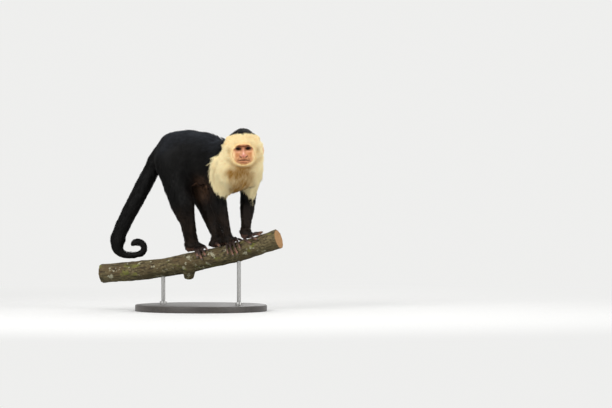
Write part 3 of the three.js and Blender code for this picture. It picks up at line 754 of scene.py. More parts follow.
# The colour of the coat from what its hair carries, the same on the skin beneath.
def makeCoatMarkings():
    numbers = {"Cream share": 0.0, "Ochre share": 0.0, "Warm share": 0.0, "Patch share": 0.0,
               "Painted_sheen share": 0.0, "Along": 0.5, "Chance": 0.5}
    group, put, out = newGroup("coatMarkings", {**numbers, **coatTones}, {"Color": coatTones["Ochre"]})
    nodes = Nodes(group)
    cloudy = nodes.noise(nodes.places(), 55.0, 3.0)
    streaky = nodes.noise(nodes.places(scale=(1, 1, 0.3)), 320.0, 2.0)
    # Locks with a low value here show more of the root colour below: partly the hair's own darker base,
    # partly painted shade in the gaps between the locks.
    lift = nodes.plus(nodes.times(put["Chance"], 0.6), nodes.times(streaky, 0.4))
    height = nodes.times(put["Along"], nodes.ramp(lift, 0.15, 0.8, 0.35, 1.0))
    # painted sheen: blue-grey tips on the upward-facing black coat, in clouds
    share = nodes.times(put["Painted_sheen share"], nodes.ramp(cloudy, 0.25, 0.7, 0.5, 1.0))
    black = nodes.mix(height, put["Black root"], nodes.mix(share, put["Black tip"], put["Painted sheen tip"]))
    brown = nodes.mix(nodes.times(put["Along"], 0.8), put["Black root"], put["Brown"])
    share = nodes.times(put["Warm share"], nodes.ramp(cloudy, 0.3, 0.65, 0.45, 1.0))
    black = nodes.mix(share, black, brown)
    share = nodes.times(put["Patch share"], nodes.ramp(lift, 0.2, 0.75, 0.25, 0.95))
    black = nodes.mix(share, black, put["Patch"])
    height = nodes.plus(nodes.times(put["Along"], 0.6), nodes.times(lift, 0.8))
    cream = nodes.mix(nodes.ramp(height, 0.12, 0.85), put["Cream root"], put["Cream tip"])
    share = nodes.times(put["Ochre share"], nodes.ramp(lift, 0.1, 0.75, 0.55, 1.0))
    cream = nodes.mix(share, cream, put["Ochre"])
    nodes.feed(out["Color"], nodes.mix(put["Cream share"], black, cream))
    return group


coatMarkings = makeCoatMarkings()


def coatColour(nodes, along, chance):
    group = nodes.tree.nodes.new("ShaderNodeGroup")
    group.node_tree = coatMarkings
    for mark in ("Cream", "Ochre", "Warm", "Patch", "Painted_sheen"):
        nodes.feed(group.inputs[mark + " share"], nodes.number(mark.lower()))
    nodes.feed(group.inputs["Along"], along)
    nodes.feed(group.inputs["Chance"], chance)
    return group.outputs["Color"]


def makeCoatMaterial(name, roughness, specular):
    material, nodes, put = newMaterial(name, roughness, Specular_IOR_Level=specular)
    nodes.feed(put["Base Color"], coatColour(nodes, nodes.number("along"), nodes.number("chance")))
    strands = nodes.noise(nodes.places(scale=(1, 1, 0.25)), 2600.0, 1.0)
    nodes.emboss(put, strands, 0.25, 0.0003)
    return material


coatMaterials = {
    "black_coat": makeCoatMaterial("blackCoat", 0.55, 0.15),
    "cream_coat": makeCoatMaterial("creamCoat", 0.75, 0.15),
}

# The coat: tufts that are combed over the skin along the lie of the hair.

coat = {
    "width": 0.9,  # of a tuft at its middle, in millimetres
    "thickness": 0.4,  # as a share of the width
    "fullLength": 14,  # shorter tufts are narrower, down to the least width
    "leastWidth": 0.28,  # as a share of the width
    "rootDepth": 0.4,  # how far a tuft starts under the skin, in millimetres
    "lengthSpread": 0.22,
    "turnSpread": 0.16,
    "softness": 0.7,  # how far a tuft is shaded as the skin under it
    "patchSize": 0.0015,  # half the width of a tuft's patch on the unwrap
    "seed": 20,
}
hairLength = {
    "pelvis": 23, "belly": 23, "chest": 27, "neck": 24, "head": 18, "crown_cap": 15, "face": 2.6,
    "thigh": 20, "shank": 15, "upper_arm": 20, "forearm": 14, "hand": 5, "foot": 5, "finger": 3,
    "toe": 3, "tail_root": 20, "tail_upper": 18, "tail_lower": 17, "tail_curl": 12,
    "tail_tip": 11, "ear": 3,
}
# Each piece's nodes, its number of tufts, how much the tips near each other draw together, how far
# apart its locks are in millimetres, how far its highest tips rise, and its slot.
coatPieces = {
    "coat_head": (headKinds, 19600, 0.3, 3.5, 1.5, "cream_coat"),
    "coat_chest": (("chest", "neck"), 19600, 0.75, 8.5, 1.35, "cream_coat"),
    "coat_belly": (("belly",), 15000, 0.35, 6.0, 1.15, "black_coat"),
    "coat_rump": (("pelvis", "tail_root"), 19600, 0.35, 6.0, 1.15, "black_coat"),
    "coat_arms": (("upper_arm", "forearm"), 19000, 0.4, 5.0, 1.15, "black_coat"),
    "coat_thighs": (("thigh",), 16000, 0.35, 5.5, 1.15, "black_coat"),
    "coat_shanks": (("shank",), 11000, 0.3, 4.5, 1.15, "black_coat"),
    "coat_tail": (("tail_upper", "tail_lower", "tail_curl", "tail_tip"), 16500, 0.3, 4.5, 1.1,
                  "black_coat"),
    "coat_hands_feet": (("hand", "foot", *digitKinds), 5500, 0.1, 2.0, 1.0, "black_coat"),
}

skinMesh.calc_loop_triangles()
triangles = readValues(skinMesh.loop_triangles, "vertices", 3, np.int32)
skinTree = BVHTree.FromPolygons(skinPoints.tolist(), triangles.tolist())
corners = skinPoints[triangles]
triangleArea = distances(np.cross(corners[:, 1] - corners[:, 0], corners[:, 2] - corners[:, 0])) / 2

headLocal = toHead(skinPoints)
beyondFace = faceEdge(headLocal[:, 0], headLocal[:, 2]) - 1
isHead = headShare > 0.3
facing = isHead & (headLocal[:, 1] < 5)
lengthAt = np.array([hairLength[kindOf(name)] for name in fleshNodes], float)[label]
lengthAt = relaxed(lengthAt, skinEdges, 0.5, 12)
lengthAt = np.where(facing, np.minimum(lengthAt, 2.6 + 26 * np.clip(beyondFace, 0, 1)), lengthAt)
foreheadLength = 4.5 + 13 * smoothStep(0, 30, headLocal[:, 1])  # short over the brow, longer behind
lengthAt = np.where(isHead & (headLocal[:, 2] > 10), np.minimum(lengthAt, foreheadLength), lengthAt)
# Bare skin: the mask of the face, the digits, the palms and soles, and the ears' insides.
maskEdge = np.hypot(headLocal[:, 0] / 28.5, (headLocal[:, 2] + 14.0) / 26.5)
bare = np.where(facing, smoothStep(1.06, 0.88, maskEdge + 0.05 * noiseAt(skinPoints, 4)), 0)
digits = softKind(digitKinds, 2)
hands = softKind(("hand", "foot"), 2)
ears = softKind(("ear",), 2)
under = smoothStep(0.1, -0.5, skinNormals[:, 2])
bare = np.maximum(bare, np.maximum(digits * 0.9, hands * under))
bare = np.maximum(bare, ears)
density = 1 - np.clip(bare * 1.15, 0, 1)
density = density * np.where(facing, 1 + 1.5 * smoothStep(0.8, 0.0, beyondFace), 1)
# Round the ears only what faces outwards has hair, and it is short.
fromEar = distances(np.abs(headLocal) * (1, 0, 0) + headLocal * (0, 1, 1) - (45, 20, -5))
outward = skinNormals @ headTurn[:, 0] * np.sign(headLocal[:, 0])
nearEar = smoothStep(26, 18, fromEar)
density *= 1 - nearEar * smoothStep(0.75, 0.5, outward)
density *= 1 - smoothStep(0.1, 0.5, ears)
lengthAt = np.where(nearEar > 0, np.minimum(lengthAt, 18 - 10 * nearEar), lengthAt)


# The place on the skin that lies a step ahead, with its normal and its face.
def combed(points, ways, reach):
    ahead = (points + ways * reach[:, None]).tolist()
    found = [skinTree.find_nearest(Vector(p)) for p in ahead]
    return tuple(np.array([f[part] for f in found]) for part in range(3))


# What the skin carries at places given by their faces and their weights there.
def blend(values, face, weights):
    picked = values[triangles[face]]
    if picked.ndim == 3:
        return np.einsum("ijk,ij->ik", picked, weights)
    return dot(picked, weights)


def weightsIn(face, points):
    a, b, c = (corners[face][:, n] for n in range(3))
    whole = np.cross(b - a, c - a)
    size = np.maximum(dot(whole, whole), 1e-20)
    w1 = np.clip(dot(np.cross(c - b, points - b), whole) / size, 0, 1)
    w2 = np.clip(dot(np.cross(a - c, points - c), whole) / size, 0, 1)
    return np.stack((w1, w2, np.clip(1 - w1 - w2, 0, 1)), axis=1)


# Where the faces of one region lie on an unwrap of their own shape.
def unwrapOf(faces):
    used, compact = np.unique(triangles[faces], return_inverse=True)
    mesh = bpy.data.meshes.new("region")
    mesh.from_pydata(skinPoints[used].tolist(), [], compact.reshape(-1, 3).tolist())
    region = newObject("region", mesh)
    bpy.ops.object.select_all(action="DESELECT")
    region.select_set(True)
    bpy.context.view_layer.objects.active = region
    bpy.ops.object.mode_set(mode="EDIT")
    bpy.ops.mesh.select_all(action="SELECT")
    bpy.ops.uv.smart_project(angle_limit=math.radians(70), island_margin=0.006)
    bpy.ops.object.mode_set(mode="OBJECT")
    flat = readValues(mesh.uv_layers[0].data, "uv", 2)
    bpy.data.objects.remove(region)
    return flat.reshape(-1, 3, 2)


# A tuft has three corners at its root, three at its middle and one at its tip.
tuftAlong = (0, 0, 0, 0.5, 0.5, 0.5, 1.0)
tuftFaces = ((0, 3, 4, 1), (1, 4, 5, 2), (2, 5, 3, 0), (0, 1, 2), (3, 6, 4), (4, 6, 5), (5, 6, 3))
tuftPatch = ((-1, 0), (1, 0), (0, 0.1), (-1, 1), (1, 1), (0, 1.1), (0, 2))
tuftPattern = np.concatenate(tuftFaces)


# Where a piece's tufts are rooted: its faces, which of them each tuft has, and its weights there.
def scattered(kinds, tufts, rng):
    weight = triangleArea * density[triangles].mean(axis=1) * isKind(kinds)[label][triangles[:, 0]]
    faces = np.nonzero(weight > 0)[0]
    upTo = np.cumsum(weight[faces])
    spots = (np.arange(tufts) + rng.random(tufts)) / tufts * upTo[-1]
    picked = np.minimum(np.searchsorted(upTo, spots), len(faces) - 1)
    u, v = rng.random(tufts), rng.random(tufts)
    flip = u + v > 1
    u[flip], v[flip] = 1 - u[flip], 1 - v[flip]
    return faces, picked, np.stack((1 - u - v, u, v), axis=1), weight.sum()


def tuftMesh(name, ring, under):
    tufts = len(ring[0])
    mesh = bpy.data.meshes.new(name)
    mesh.vertices.add(tufts * len(ring))
    setPoints(mesh, np.stack(ring, axis=1).reshape(-1, 3))
    sizes = [len(corner) for corner in tuftFaces]
    each = np.arange(tufts)[:, None]
    loops = (each * len(ring) + tuftPattern).ravel()
    mesh.loops.add(len(loops))
    mesh.loops.foreach_set("vertex_index", loops.astype(np.int32))
    starts = (each * len(tuftPattern) + np.cumsum([0] + sizes[:-1])).ravel()
    mesh.polygons.add(len(starts))
    mesh.polygons.foreach_set("loop_start", starts.astype(np.int32))
    mesh.update(calc_edges=True)
    mesh.shade_smooth()
    own = normalsOf(mesh)
    mesh.normals_split_custom_set_from_vertices(unit(own + (under - own) * coat["softness"]).tolist())
    return mesh


def makeCoatPiece(name, rng, kinds, tufts, draw, lock, rise, slot):
    faces, picked, weights, area = scattered(kinds, tufts, rng)
    face, lock = faces[picked], lock * mm
    root = blend(skinPoints, face, weights)
    normal = unit(blend(skinNormals, face, weights))
    way = unit(blend(lie, face, weights))
    turn = rng.normal(0, coat["turnSpread"], tufts)[:, None]
    way = way * np.cos(turn) + np.cross(way, normal) * np.sin(turn)
    length = blend(lengthAt, face, weights) * mm
    length *= 1 + rng.normal(0, coat["lengthSpread"], tufts).clip(-0.5, 0.5)
    lift = blend(depth, face, weights) * rng.uniform(0.55, rise, tufts)
    lift = np.minimum(lift, length * np.where(length < 6 * mm, 0.35, 0.55))
    halfWay, midNormal, midFace = combed(root, way, length * 0.5)
    middle = halfWay + midNormal * (lift * 0.62)[:, None]
    onward = unit(lie[triangles[midFace, 0]] + 0.35 * way)
    place, tipNormal, _ = combed(halfWay, onward, length * 0.5)
    tip = place + tipNormal * lift[:, None]
    # each lock is fullest along its own line, and its tips draw together
    seeds = rng.permutation(tufts)[: max(int(area / lock**2), 1)]
    nearest = seeds[nearestOf(root[seeds], root)]
    chance = rng.random(tufts)
    offCentre = smoothStep(0.25, 0.9, distances(root - root[nearest]) / lock)
    settle = normal * (lift * (0.10 + draw * 0.5) * offCentre * (0.4 + chance[nearest]))[:, None]
    middle -= settle * 0.6
    tip -= settle
    chance = 0.5 * chance + 0.5 * chance[nearest]
    towards = tip[nearest] - tip
    near = smoothStep(3.0, 1.5, distances(towards) / lock)
    reachable = np.minimum(length / (2.5 * lock), 1)  # short hair hardly draws together
    pull = (draw * near * reachable * rng.uniform(0.5, 1.3, tufts))[:, None]
    tip += towards * pull
    middle += (middle[nearest] - middle) * pull * 0.4
    narrow = np.minimum(length / (coat["fullLength"] * mm), 1.0).clip(coat["leastWidth"])
    width = (coat["width"] * mm * narrow * rng.uniform(0.75, 1.3, tufts))[:, None]
    low = root - normal * (coat["rootDepth"] * mm)
    along = unit(middle - low)
    side = unit(np.cross(along, normal))
    upward = np.cross(side, along) * (width * coat["thickness"])
    ring = (low - side * width * 0.4, low + side * width * 0.4, low + upward,
            middle - side * width * 0.5, middle + side * width * 0.5, middle + upward, tip)
    under = np.stack((normal,) * 3 + (midNormal,) * 3 + (tipNormal,), axis=1).reshape(-1, 3)
    mesh = tuftMesh(name, ring, under)
    unwrapped = np.einsum("ijk,ij->ik", unwrapOf(faces)[picked], weights)
    flat = unwrapped[:, None, :] + np.array(tuftPatch)[tuftPattern] * coat["patchSize"]
    layer = mesh.uv_layers.new(name="OFBake")
    layer.data.foreach_set("uv", np.clip(flat, 0, 1).astype(np.float32).ravel())
    onTheWay = weightsIn(midFace, halfWay)
    isCream = blend(cream, midFace, onTheWay) - 0.5 + 0.35 * (rng.random(tufts) - 0.5)
    isCream = smoothStep(-0.12, 0.12, isCream + 0.4 * (chance - 0.5))
    carried = {key: blend(values, midFace, onTheWay) for key, values in marks.items()}
    for key, values in {"cream": isCream, "chance": chance, **carried}.items():
        setNumber(mesh, key, np.repeat(values, len(ring)))
    setNumber(mesh, "along", np.tile(tuftAlong, tufts))
    piece = newObject(name, mesh, coatMaterials[slot])
    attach(piece, "root")


for place, (name, settings) in enumerate(coatPieces.items()):
    makeCoatPiece(name, np.random.default_rng(coat["seed"] + place), *settings)
    print(name, "combed")

# The skin's colours and finish, with painted shade and a painted highlight on the face.

faceTone = tone(206, 156, 108)
# Marks on the face, on both sides where the first number isn't 0: across, up, half-width and
# half-height in millimetres, strength, colour.
faceMarks = (
    # tan on the cheeks beside the muzzle, partly painted shade
    (17, -13, 6.5, 8.5, 0.8, tone(172, 114, 64)),
    # painted shade above the corners of the mouth
    (14, -28, 5, 6, 0.6, tone(184, 130, 86)),
    (24.5, -15, 3.4, 14, 0.6, tone(255, 228, 174)),
    (0, 14, 18, 4, 0.9, tone(238, 196, 138)),
    (14, 7.6, 11, 2.4, 0.9, tone(176, 98, 50)),
    (23, 1, 4, 5, 0.9, tone(190, 106, 62)),
    # painted shade in the furrow between the brows
    (0, 6, 3.4, 3.6, 0.85, tone(112, 54, 24)),
    (12.3, -8, 7.5, 1.8, 0.75, tone(232, 168, 140)),
    # dark skin of the lids, with painted shade beneath the brow
    (12.3, 0.8, 9.6, 5.6, 1.25, tone(66, 34, 21)),
    (0, 1, 5, 5, 0.7, tone(172, 108, 66)),
    (5.4, 0.5, 2, 4, 0.7, tone(132, 76, 46)),
    (0, -6, 4.0, 7, 0.85, tone(208, 150, 124)),
    (0, -17.5, 8.6, 6.0, 0.95, tone(192, 124, 110)),
    # a painted highlight on the bridge of the nose
    (0, -12.5, 2.2, 3.6, 0.7, tone(244, 200, 182)),
    # painted shade between the nostrils
    (0, -21, 1.8, 3.2, 0.6, tone(142, 84, 66)),
    # painted shade in the crease behind the wings of the nose
    (10, -19, 1.3, 3.4, 0.65, tone(128, 74, 52)),
    # a painted shadow under the nose, on the upper lip
    (0, -26.5, 12, 2.2, 0.85, tone(134, 82, 54)),
    (0, -34.4, 12.8, 3.6, 0.95, tone(164, 102, 72)),
    # a painted shadow under the lower lip
    (0, -39.6, 11, 1.2, 0.8, tone(120, 70, 48)),
    (0, -43, 16, 3.6, 0.8, tone(206, 164, 90)),
)


def tinted(colours, colour, share):
    return colours + (np.array(colour) - colours) * share[:, None]


def faceColours(local):
    x, z = local[:, 0], local[:, 2]
    wide = np.abs(x)
    result = np.tile(faceTone, (len(x), 1))
    for *spot, strength, colour in faceMarks:
        result = tinted(result, colour, np.clip(bumpAt(wide, z, *spot) * strength, 0, 1))
    # painted shade in the crease between the lips
    mouth = bell(z - mouthLine(x), 1.5 - 0.04 * wide) * (1 - smoothStep(12.5, 16, wide))
    result = tinted(result, tone(64, 34, 24), 0.85 * mouth)
    # painted shade in the fold beside the muzzle
    fold = bell(muzzleFold(x, z), 1.6) * bumpAt(0, z, 0, -28, 1, 7)
    result = tinted(result, tone(112, 68, 42), 0.5 * fold)
    brow = bell(z - 4.9 - 0.17 * wide, 1.7) * (1 - smoothStep(19, 25, wide))
    result = tinted(result, tone(92, 48, 26), 0.75 * brow)
    # painted shade in the nostrils
    result = tinted(result, tone(64, 34, 24), np.clip(nostrilAt(x, z) * 1.1, 0, 1))
    return tinted(result, tone(50, 26, 17), 0.92 * smoothStep(1.2, 0.3, openingBoth(x, z)))


handTone, palmTone, tipTone = tone(46, 34, 29), tone(78, 56, 46), tone(150, 112, 92)
bowlTone, rimTone = tone(124, 74, 56), tone(238, 200, 158)
bareColour = faceColours(headLocal)
isHand = np.maximum(digits, hands) > 0.3
bareColour[isHand] = tinted(np.array(handTone), palmTone, under[isHand])
for name in fleshNodes:
    if kindOf(name) in digitKinds:
        mine = np.nonzero(label == fleshNodes.index(name))[0]
        reach = distances(skinPoints[mine] / mm - palmOf(name) / mm)
        share = smoothStep(np.quantile(reach, 0.55), reach.max(), reach)
        bareColour[mine] = tinted(bareColour[mine], tipTone, share * 0.75)
# The ear's rim catches the light, and its bowl is in shade.
fromBowl = np.hypot((headLocal[:, 1] - 21.0) / 6.5, (headLocal[:, 2] + 6.0) / 9.0)
inBowl = smoothStep(1.35, 0.5, fromBowl) * smoothStep(50, 47.5, np.abs(headLocal[:, 0]))
earColour = tinted(np.array(rimTone), bowlTone, inBowl)
isEar = smoothStep(0.15, 0.5, softKind(("ear",), 1))[:, None]
bareColour += (earColour - bareColour) * isEar

layer = skinMesh.attributes.new("bareColour", "FLOAT_COLOR", "POINT")
layer.data.foreach_set("color", bareColour.astype(np.float32).ravel())
for key, values in {**marks, "cream": cream, "bare": bare}.items():
    setNumber(skinMesh, key, values)


def makeSkinMaterial():
    material, nodes, put = newMaterial("skinMaterial", 0.55, Specular_IOR_Level=0.25)
    under = coatColour(nodes, 0.12, 0.4)
    own = nodes.add("Attribute", {"attribute_name": "bareColour"}).outputs["Color"]
    pores = nodes.noise(nodes.places(), 900.0, 3.0, 0.6)
    cloudy = nodes.noise(nodes.places(), 160.0, 3.0)
    own = nodes.mix(nodes.ramp(cloudy, 0.35, 0.7, 0.0, 0.22), own, tone(214, 120, 92), "MULTIPLY")
    own = nodes.mix(nodes.ramp(pores, 0.45, 0.75, 0.0, 0.16), own, tone(120, 80, 60), "MULTIPLY")
    share = nodes.ramp(nodes.number("bare"), 0.25, 0.75)
    nodes.feed(put["Base Color"], nodes.mix(share, under, own))
    folds = nodes.add("TexVoronoi", {"feature": "DISTANCE_TO_EDGE"},
                      Vector=nodes.places(scale=(1, 1, 1.6)), Scale=620.0).outputs[0]
    height = nodes.plus(nodes.times(pores, 0.6), nodes.ramp(folds, 0.0, 0.35))
    nodes.emboss(put, height, 0.22, 0.0003)
    nodes.feed(put["Roughness"], nodes.ramp(pores, 0.3, 0.7, 0.45, 0.62))
    return material


skin = newObject("skin", skinMesh, makeSkinMaterial())
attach(skin, "root")
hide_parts(*fleshNodes)
print("skin finished")

# Eyes

eyeForm = {
    "segments": 48,
    "rings": 32,
    "irisAngle": 36.0,
    "corneaRise": 0.45,
    "gaze": (-0.06, -1.0, 0.02),
}


def makeEyeMaterial():
    material, nodes, put = newMaterial("eyeMaterial", 0.2, Specular_IOR_Level=0.0, Coat_Weight=0.15,
                                       Coat_Roughness=0.03, Coat_IOR=1.33)
    angle = nodes.number("angle")
    grain = nodes.noise(nodes.places(), 1500.0, 3.0)
    iris = nodes.mix(nodes.ramp(grain, 0.3, 0.7), tone(34, 17, 9), tone(66, 36, 17))
    ring = nodes.mix(nodes.ramp(angle, 0.66, 0.96), iris, tone(12, 7, 5))
    dark = nodes.mix(nodes.ramp(angle, 0.40, 0.47), tone(2, 1, 1), ring)
    white = nodes.mix(nodes.ramp(grain, 0.35, 0.7), tone(60, 42, 33), tone(42, 28, 22))
    nodes.feed(put["Base Color"], nodes.mix(nodes.ramp(angle, 0.98, 1.12), dark, white))
    return material


eyeMaterial = makeEyeMaterial()
for side, name in ((-1, "right"), (1, "left")):
    bm = bmesh.new()
    bmesh.ops.create_uvsphere(bm, u_segments=eyeForm["segments"], v_segments=eyeForm["rings"],
                              radius=head["eyeRadius"])
    gaze = Vector(eyeForm["gaze"]).normalized()
    turn = gaze.to_track_quat("Z", "Y").to_matrix()
    bmesh.ops.rotate(bm, verts=bm.verts, cent=(0, 0, 0), matrix=turn)
    angles = [math.degrees(vert.co.angle(gaze)) / eyeForm["irisAngle"] for vert in bm.verts]
    for vert in bm.verts:
        forward = max(1 - vert.co.angle(gaze) / math.radians(eyeForm["irisAngle"]), 0)
        vert.co += gaze * (eyeForm["corneaRise"] * forward)
    mesh = meshFromBmesh(bm, f"{name}_eyeball")
    centre = np.array((side * head["eyeSpread"], head["eyeDepth"], 0))
    setPoints(mesh, fromHead(pointsOf(mesh) + centre))
    setNumber(mesh, "angle", angles)
    piece = newObject(f"{name}_eyeball", mesh, eyeMaterial)
    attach(piece, "root")
    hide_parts(f"{name}_eye")
print("eyes set")

# Nails, and the line of the branch that they turn away from

nailForm = {
    "tipPoints": 12,  # the skin's points that show where a digit ends
    "length": 1.15,  # as a share of the digit's half-width, like what follows
    "width": 0.78,
    "thickness": 0.34,
    "forward": 0.35,
    "raised": 0.28,
    "hook": 0.35,
    "crown": 0.3,
    "narrowing": 0.45,
}
branchLine = {"height": 126.0, "slope": 0.225, "rise": 0.000324, "drift": -0.404, "radius": 26.0}


def branchAxis(x):
    upward = branchLine["height"] + branchLine["slope"] * x + branchLine["rise"] * x * x
    return np.stack((x, branchLine["drift"] * x, upward), axis=-1)


def makeNails():
    whole = bmesh.new()
    for name in fleshNodes:
        if kindOf(name) not in digitKinds:
            continue
        mine = skinPoints[label == fleshNodes.index(name)] / mm
        mine = mine[np.argsort(distances(mine - palmOf(name) / mm))]
        tip = mine[-nailForm["tipPoints"]:].mean(axis=0)
        end = mine[-len(mine) // 3:]
        pad = end.mean(axis=0)
        ahead = unit(tip - pad)
        outward = unit(pad - branchAxis(pad[0]))
        outward = unit(outward - ahead * (outward @ ahead))
        across = np.cross(ahead, outward)
        girth = np.abs((end - pad) @ across).max()
        long, wide, thick = (girth * nailForm[key] for key in ("length", "width", "thickness"))
        centre = tip + outward * girth * nailForm["raised"] - ahead * girth * nailForm["forward"]
        fresh = bmesh.ops.create_uvsphere(whole, u_segments=14, v_segments=10, radius=1)["verts"]
        for vert in fresh:
            u, v, w = vert.co
            u += 0.3 * max(u, 0)
            narrow = 1 - nailForm["narrowing"] * max(u, 0)
            droop = -nailForm["hook"] * max(u, 0) ** 2 - nailForm["crown"] * v * v
            height = (w * (1 if w > 0 else 0.4)) * thick + droop * girth
            local = ahead * (u * long) + across * (v * wide * narrow) + outward * height
            vert.co = Vector((centre + local) * mm)
    return meshFromBmesh(whole, "nails")


def makeNailMaterial():
    material, nodes, put = newMaterial("nailMaterial", 0.32, Coat_Weight=0.3, Coat_Roughness=0.2)
    lines = nodes.noise(nodes.places(), 1400.0, 2.0)
    nodes.feed(put["Base Color"], nodes.mix(lines, tone(34, 26, 23), tone(84, 68, 58)))
    nodes.emboss(put, lines, 0.2, 0.0001)
    return material


nails = newObject("nails", makeNails(), makeNailMaterial())
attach(nails, "root")
print("nails set")

# The branch

bark = {
    "voxel": 1.7 * mm,
    "relief": 1.5,  # height of the bark's ridges, in millimetres
    "sink": 0.9,  # how far the bark lies within the CAD shape, so that its ridges stay in it
    "lengthwise": 0.22,  # the less, the longer the ridges run along the branch
    "rim": 1.2,  # of bark round a cut end, in millimetres
}


def makeBranch():
    rough = newObject("rough", meshFromBmesh(nodeCopy("perch_branch"), "rough"))
    mesh = meshAfter(rough, "REMESH", mode="VOXEL", voxel_size=bark["voxel"])
    edges = edgesOf(mesh)
    points = relaxed(pointsOf(mesh), edges, 0.5, 40, -1.04)
    setPoints(mesh, points)
    p = points / mm
    x = p[:, 0]
    away = p - branchAxis(x)
    slope = branchLine["slope"] + 2 * branchLine["rise"] * x
    along = unit(np.stack((np.ones(len(x)), np.full(len(x), branchLine["drift"]), slope), axis=1))
    away -= along * dot(away, along)[:, None]
    reach = distances(away)
    angle = np.arctan2(away[:, 2], away @ np.array((0.37, 0.93, 0)))
    girth = branchLine["radius"]
    ring = (x * 1.1 * bark["lengthwise"], np.cos(angle) * girth, np.sin(angle) * girth)
    ring = np.stack(ring, axis=1) * mm
    ridges = noiseAt(ring, 4.2) * 0.7 + noiseAt(ring, 2.1, 5.0) * 0.35
    knots = noiseAt(points, 26, 2.0)
    pits = noiseAt(points, 5, 9.0)
    isEnd = (np.abs(dot(normalsOf(mesh), along)) > 0.8) & (reach < branchLine["radius"] - bark["rim"])
    relief = bark["relief"] * (ridges + 0.5 * knots - 0.35 * smoothStep(0.25, 0.6, pits)) - bark["sink"]
    relief = np.where(isEnd, -0.3 + 0.25 * np.sin(reach * 2.1), relief)
    relief = relaxed(relief, edges, 0.5, 1)
    setPoints(mesh, points + normalsOf(mesh) * (relief * mm)[:, None])
    cut = relaxed(isEnd.astype(float), edges, 0.5, 2)
    for key, values in {"ridge": ridges, "cut": cut, "reach": reach, "top": unit(away)[:, 2]}.items():
        setNumber(mesh, key, values)
    mesh.shade_smooth()
    return mesh


def makeBarkMaterial():
    material, nodes, put = newMaterial("barkMaterial", 0.85, Specular_IOR_Level=0.25)
    lengthwise = nodes.places(scale=(0.35, 1, 1), turn=(0, math.radians(13), math.radians(22)))
    grain = nodes.noise(lengthwise, 260.0, 5.0, 0.65)
    broad = nodes.noise(nodes.places(), 28.0, 4.0, 0.6)
    fine = nodes.noise(nodes.places(), 700.0, 3.0, 0.6)
    ridge = nodes.ramp(nodes.number("ridge"), -0.45, 0.45)
    colour = nodes.mix(nodes.ramp(grain, 0.3, 0.7), tone(54, 45, 30), tone(122, 110, 78))
    colour = nodes.mix(nodes.ramp(broad, 0.42, 0.62), colour, tone(88, 74, 50))
    colour = nodes.mix(nodes.times(nodes.ramp(ridge, 0.45, 0.0), 0.65), colour, tone(34, 26, 19))
    patchy = nodes.noise(nodes.places(), 46.0, 5.0, 0.62)
    lichen = nodes.times(nodes.ramp(patchy, 0.585, 0.63), nodes.ramp(fine, 0.36, 0.55))
    colour = nodes.mix(nodes.times(lichen, 0.85), colour, tone(186, 184, 158))
    mossy = nodes.noise(nodes.places(scale=(0.6, 1, 1)), 30.0, 5.0, 0.6, 0.4)
    moss = nodes.times(nodes.ramp(mossy, 0.57, 0.64), nodes.ramp(fine, 0.3, 0.55, 0.3, 1.0))
    colour = nodes.mix(nodes.times(moss, 0.75), colour, tone(112, 116, 48))
    # Painted shade: the branch's underside is darker.
    shade = nodes.ramp(nodes.number("top"), 0.3, -0.7, 0.0, 0.5)  # the underside is darker
    colour = nodes.mix(shade, colour, tone(44, 44, 22))
    rings = nodes.math("SINE", nodes.times(nodes.number("reach"), 3.6))
    wood = nodes.mix(nodes.ramp(rings, -0.6, 1.0), tone(176, 138, 94), tone(136, 98, 62))
    wood = nodes.mix(nodes.ramp(nodes.number("reach"), 21.0, 25.0), wood, tone(88, 62, 42))
    cut = nodes.ramp(nodes.number("cut"), 0.4, 0.75)
    nodes.feed(put["Base Color"], nodes.mix(cut, colour, wood))
    height = nodes.plus(grain, nodes.times(fine, 0.5))
    height = nodes.plus(height, nodes.times(lichen, 0.25))
    nodes.emboss(put, height, 0.7, 0.0012)
    return material


branch = newObject("branch_wood", makeBranch(), makeBarkMaterial())
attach(branch, "root")
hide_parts("perch_branch")
print("branch grown")

# The display stand

plinth = {
    "radius": 165.0,
    "height": 16.0,
    "roundness": 3.0,
    "chamfer": 1,
    "steps": 160,
    "rod": 5.0,
    "rodPlaces": (-95.0, 95.0),
    "rodEnd": 16,  # how far under the branch's axis a rod ends, inside the wood
    "rodSteps": 40,
    "collar": 9.0,
    "collarHeight": 7.0,
    "collarRoundness": 1.5,
}


# A profile in millimetres, spun round an upright axis that stands at a place.
def spun(name, profile, place, steps, material):
    bm = bmesh.new()
    verts = [bm.verts.new((r, 0, z)) for r, z in profile]
    edges = [bm.edges.new(pair) for pair in zip(verts, verts[1:])]
    bmesh.ops.spin(bm, geom=verts + edges, axis=(0, 0, 1), cent=(0, 0, 0), angle=math.tau,
                   steps=steps, use_merge=True)
    bmesh.ops.remove_doubles(bm, verts=bm.verts, dist=0.001)
    bmesh.ops.recalc_face_normals(bm, faces=bm.faces)
    bmesh.ops.transform(bm, matrix=Matrix.Translation(place), verts=bm.verts)
    bmesh.ops.scale(bm, vec=(mm, mm, mm), verts=bm.verts)
    piece = newObject(name, meshFromBmesh(bm, name), material)
    piece.data.set_sharp_from_angle(angle=math.radians(35))
    return piece


def roundedEdge(r, z, radius, parts=5):
    turns = [math.radians(90 * n / parts) for n in range(parts + 1)]
    return [(r - radius + radius * math.cos(a), z - radius + radius * math.sin(a)) for a in turns]


def makeMetalMaterial():
    material, nodes, put = newMaterial("rodMaterial", 0.3, Metallic=1.0)
    brushed = nodes.noise(nodes.places(scale=(1, 1, 0.05)), 2400.0, 2.0)
    nodes.feed(put["Base Color"], nodes.mix(brushed, tone(150, 150, 150), tone(178, 177, 174)))
    nodes.feed(put["Roughness"], nodes.ramp(brushed, 0.3, 0.7, 0.24, 0.38))
    return material


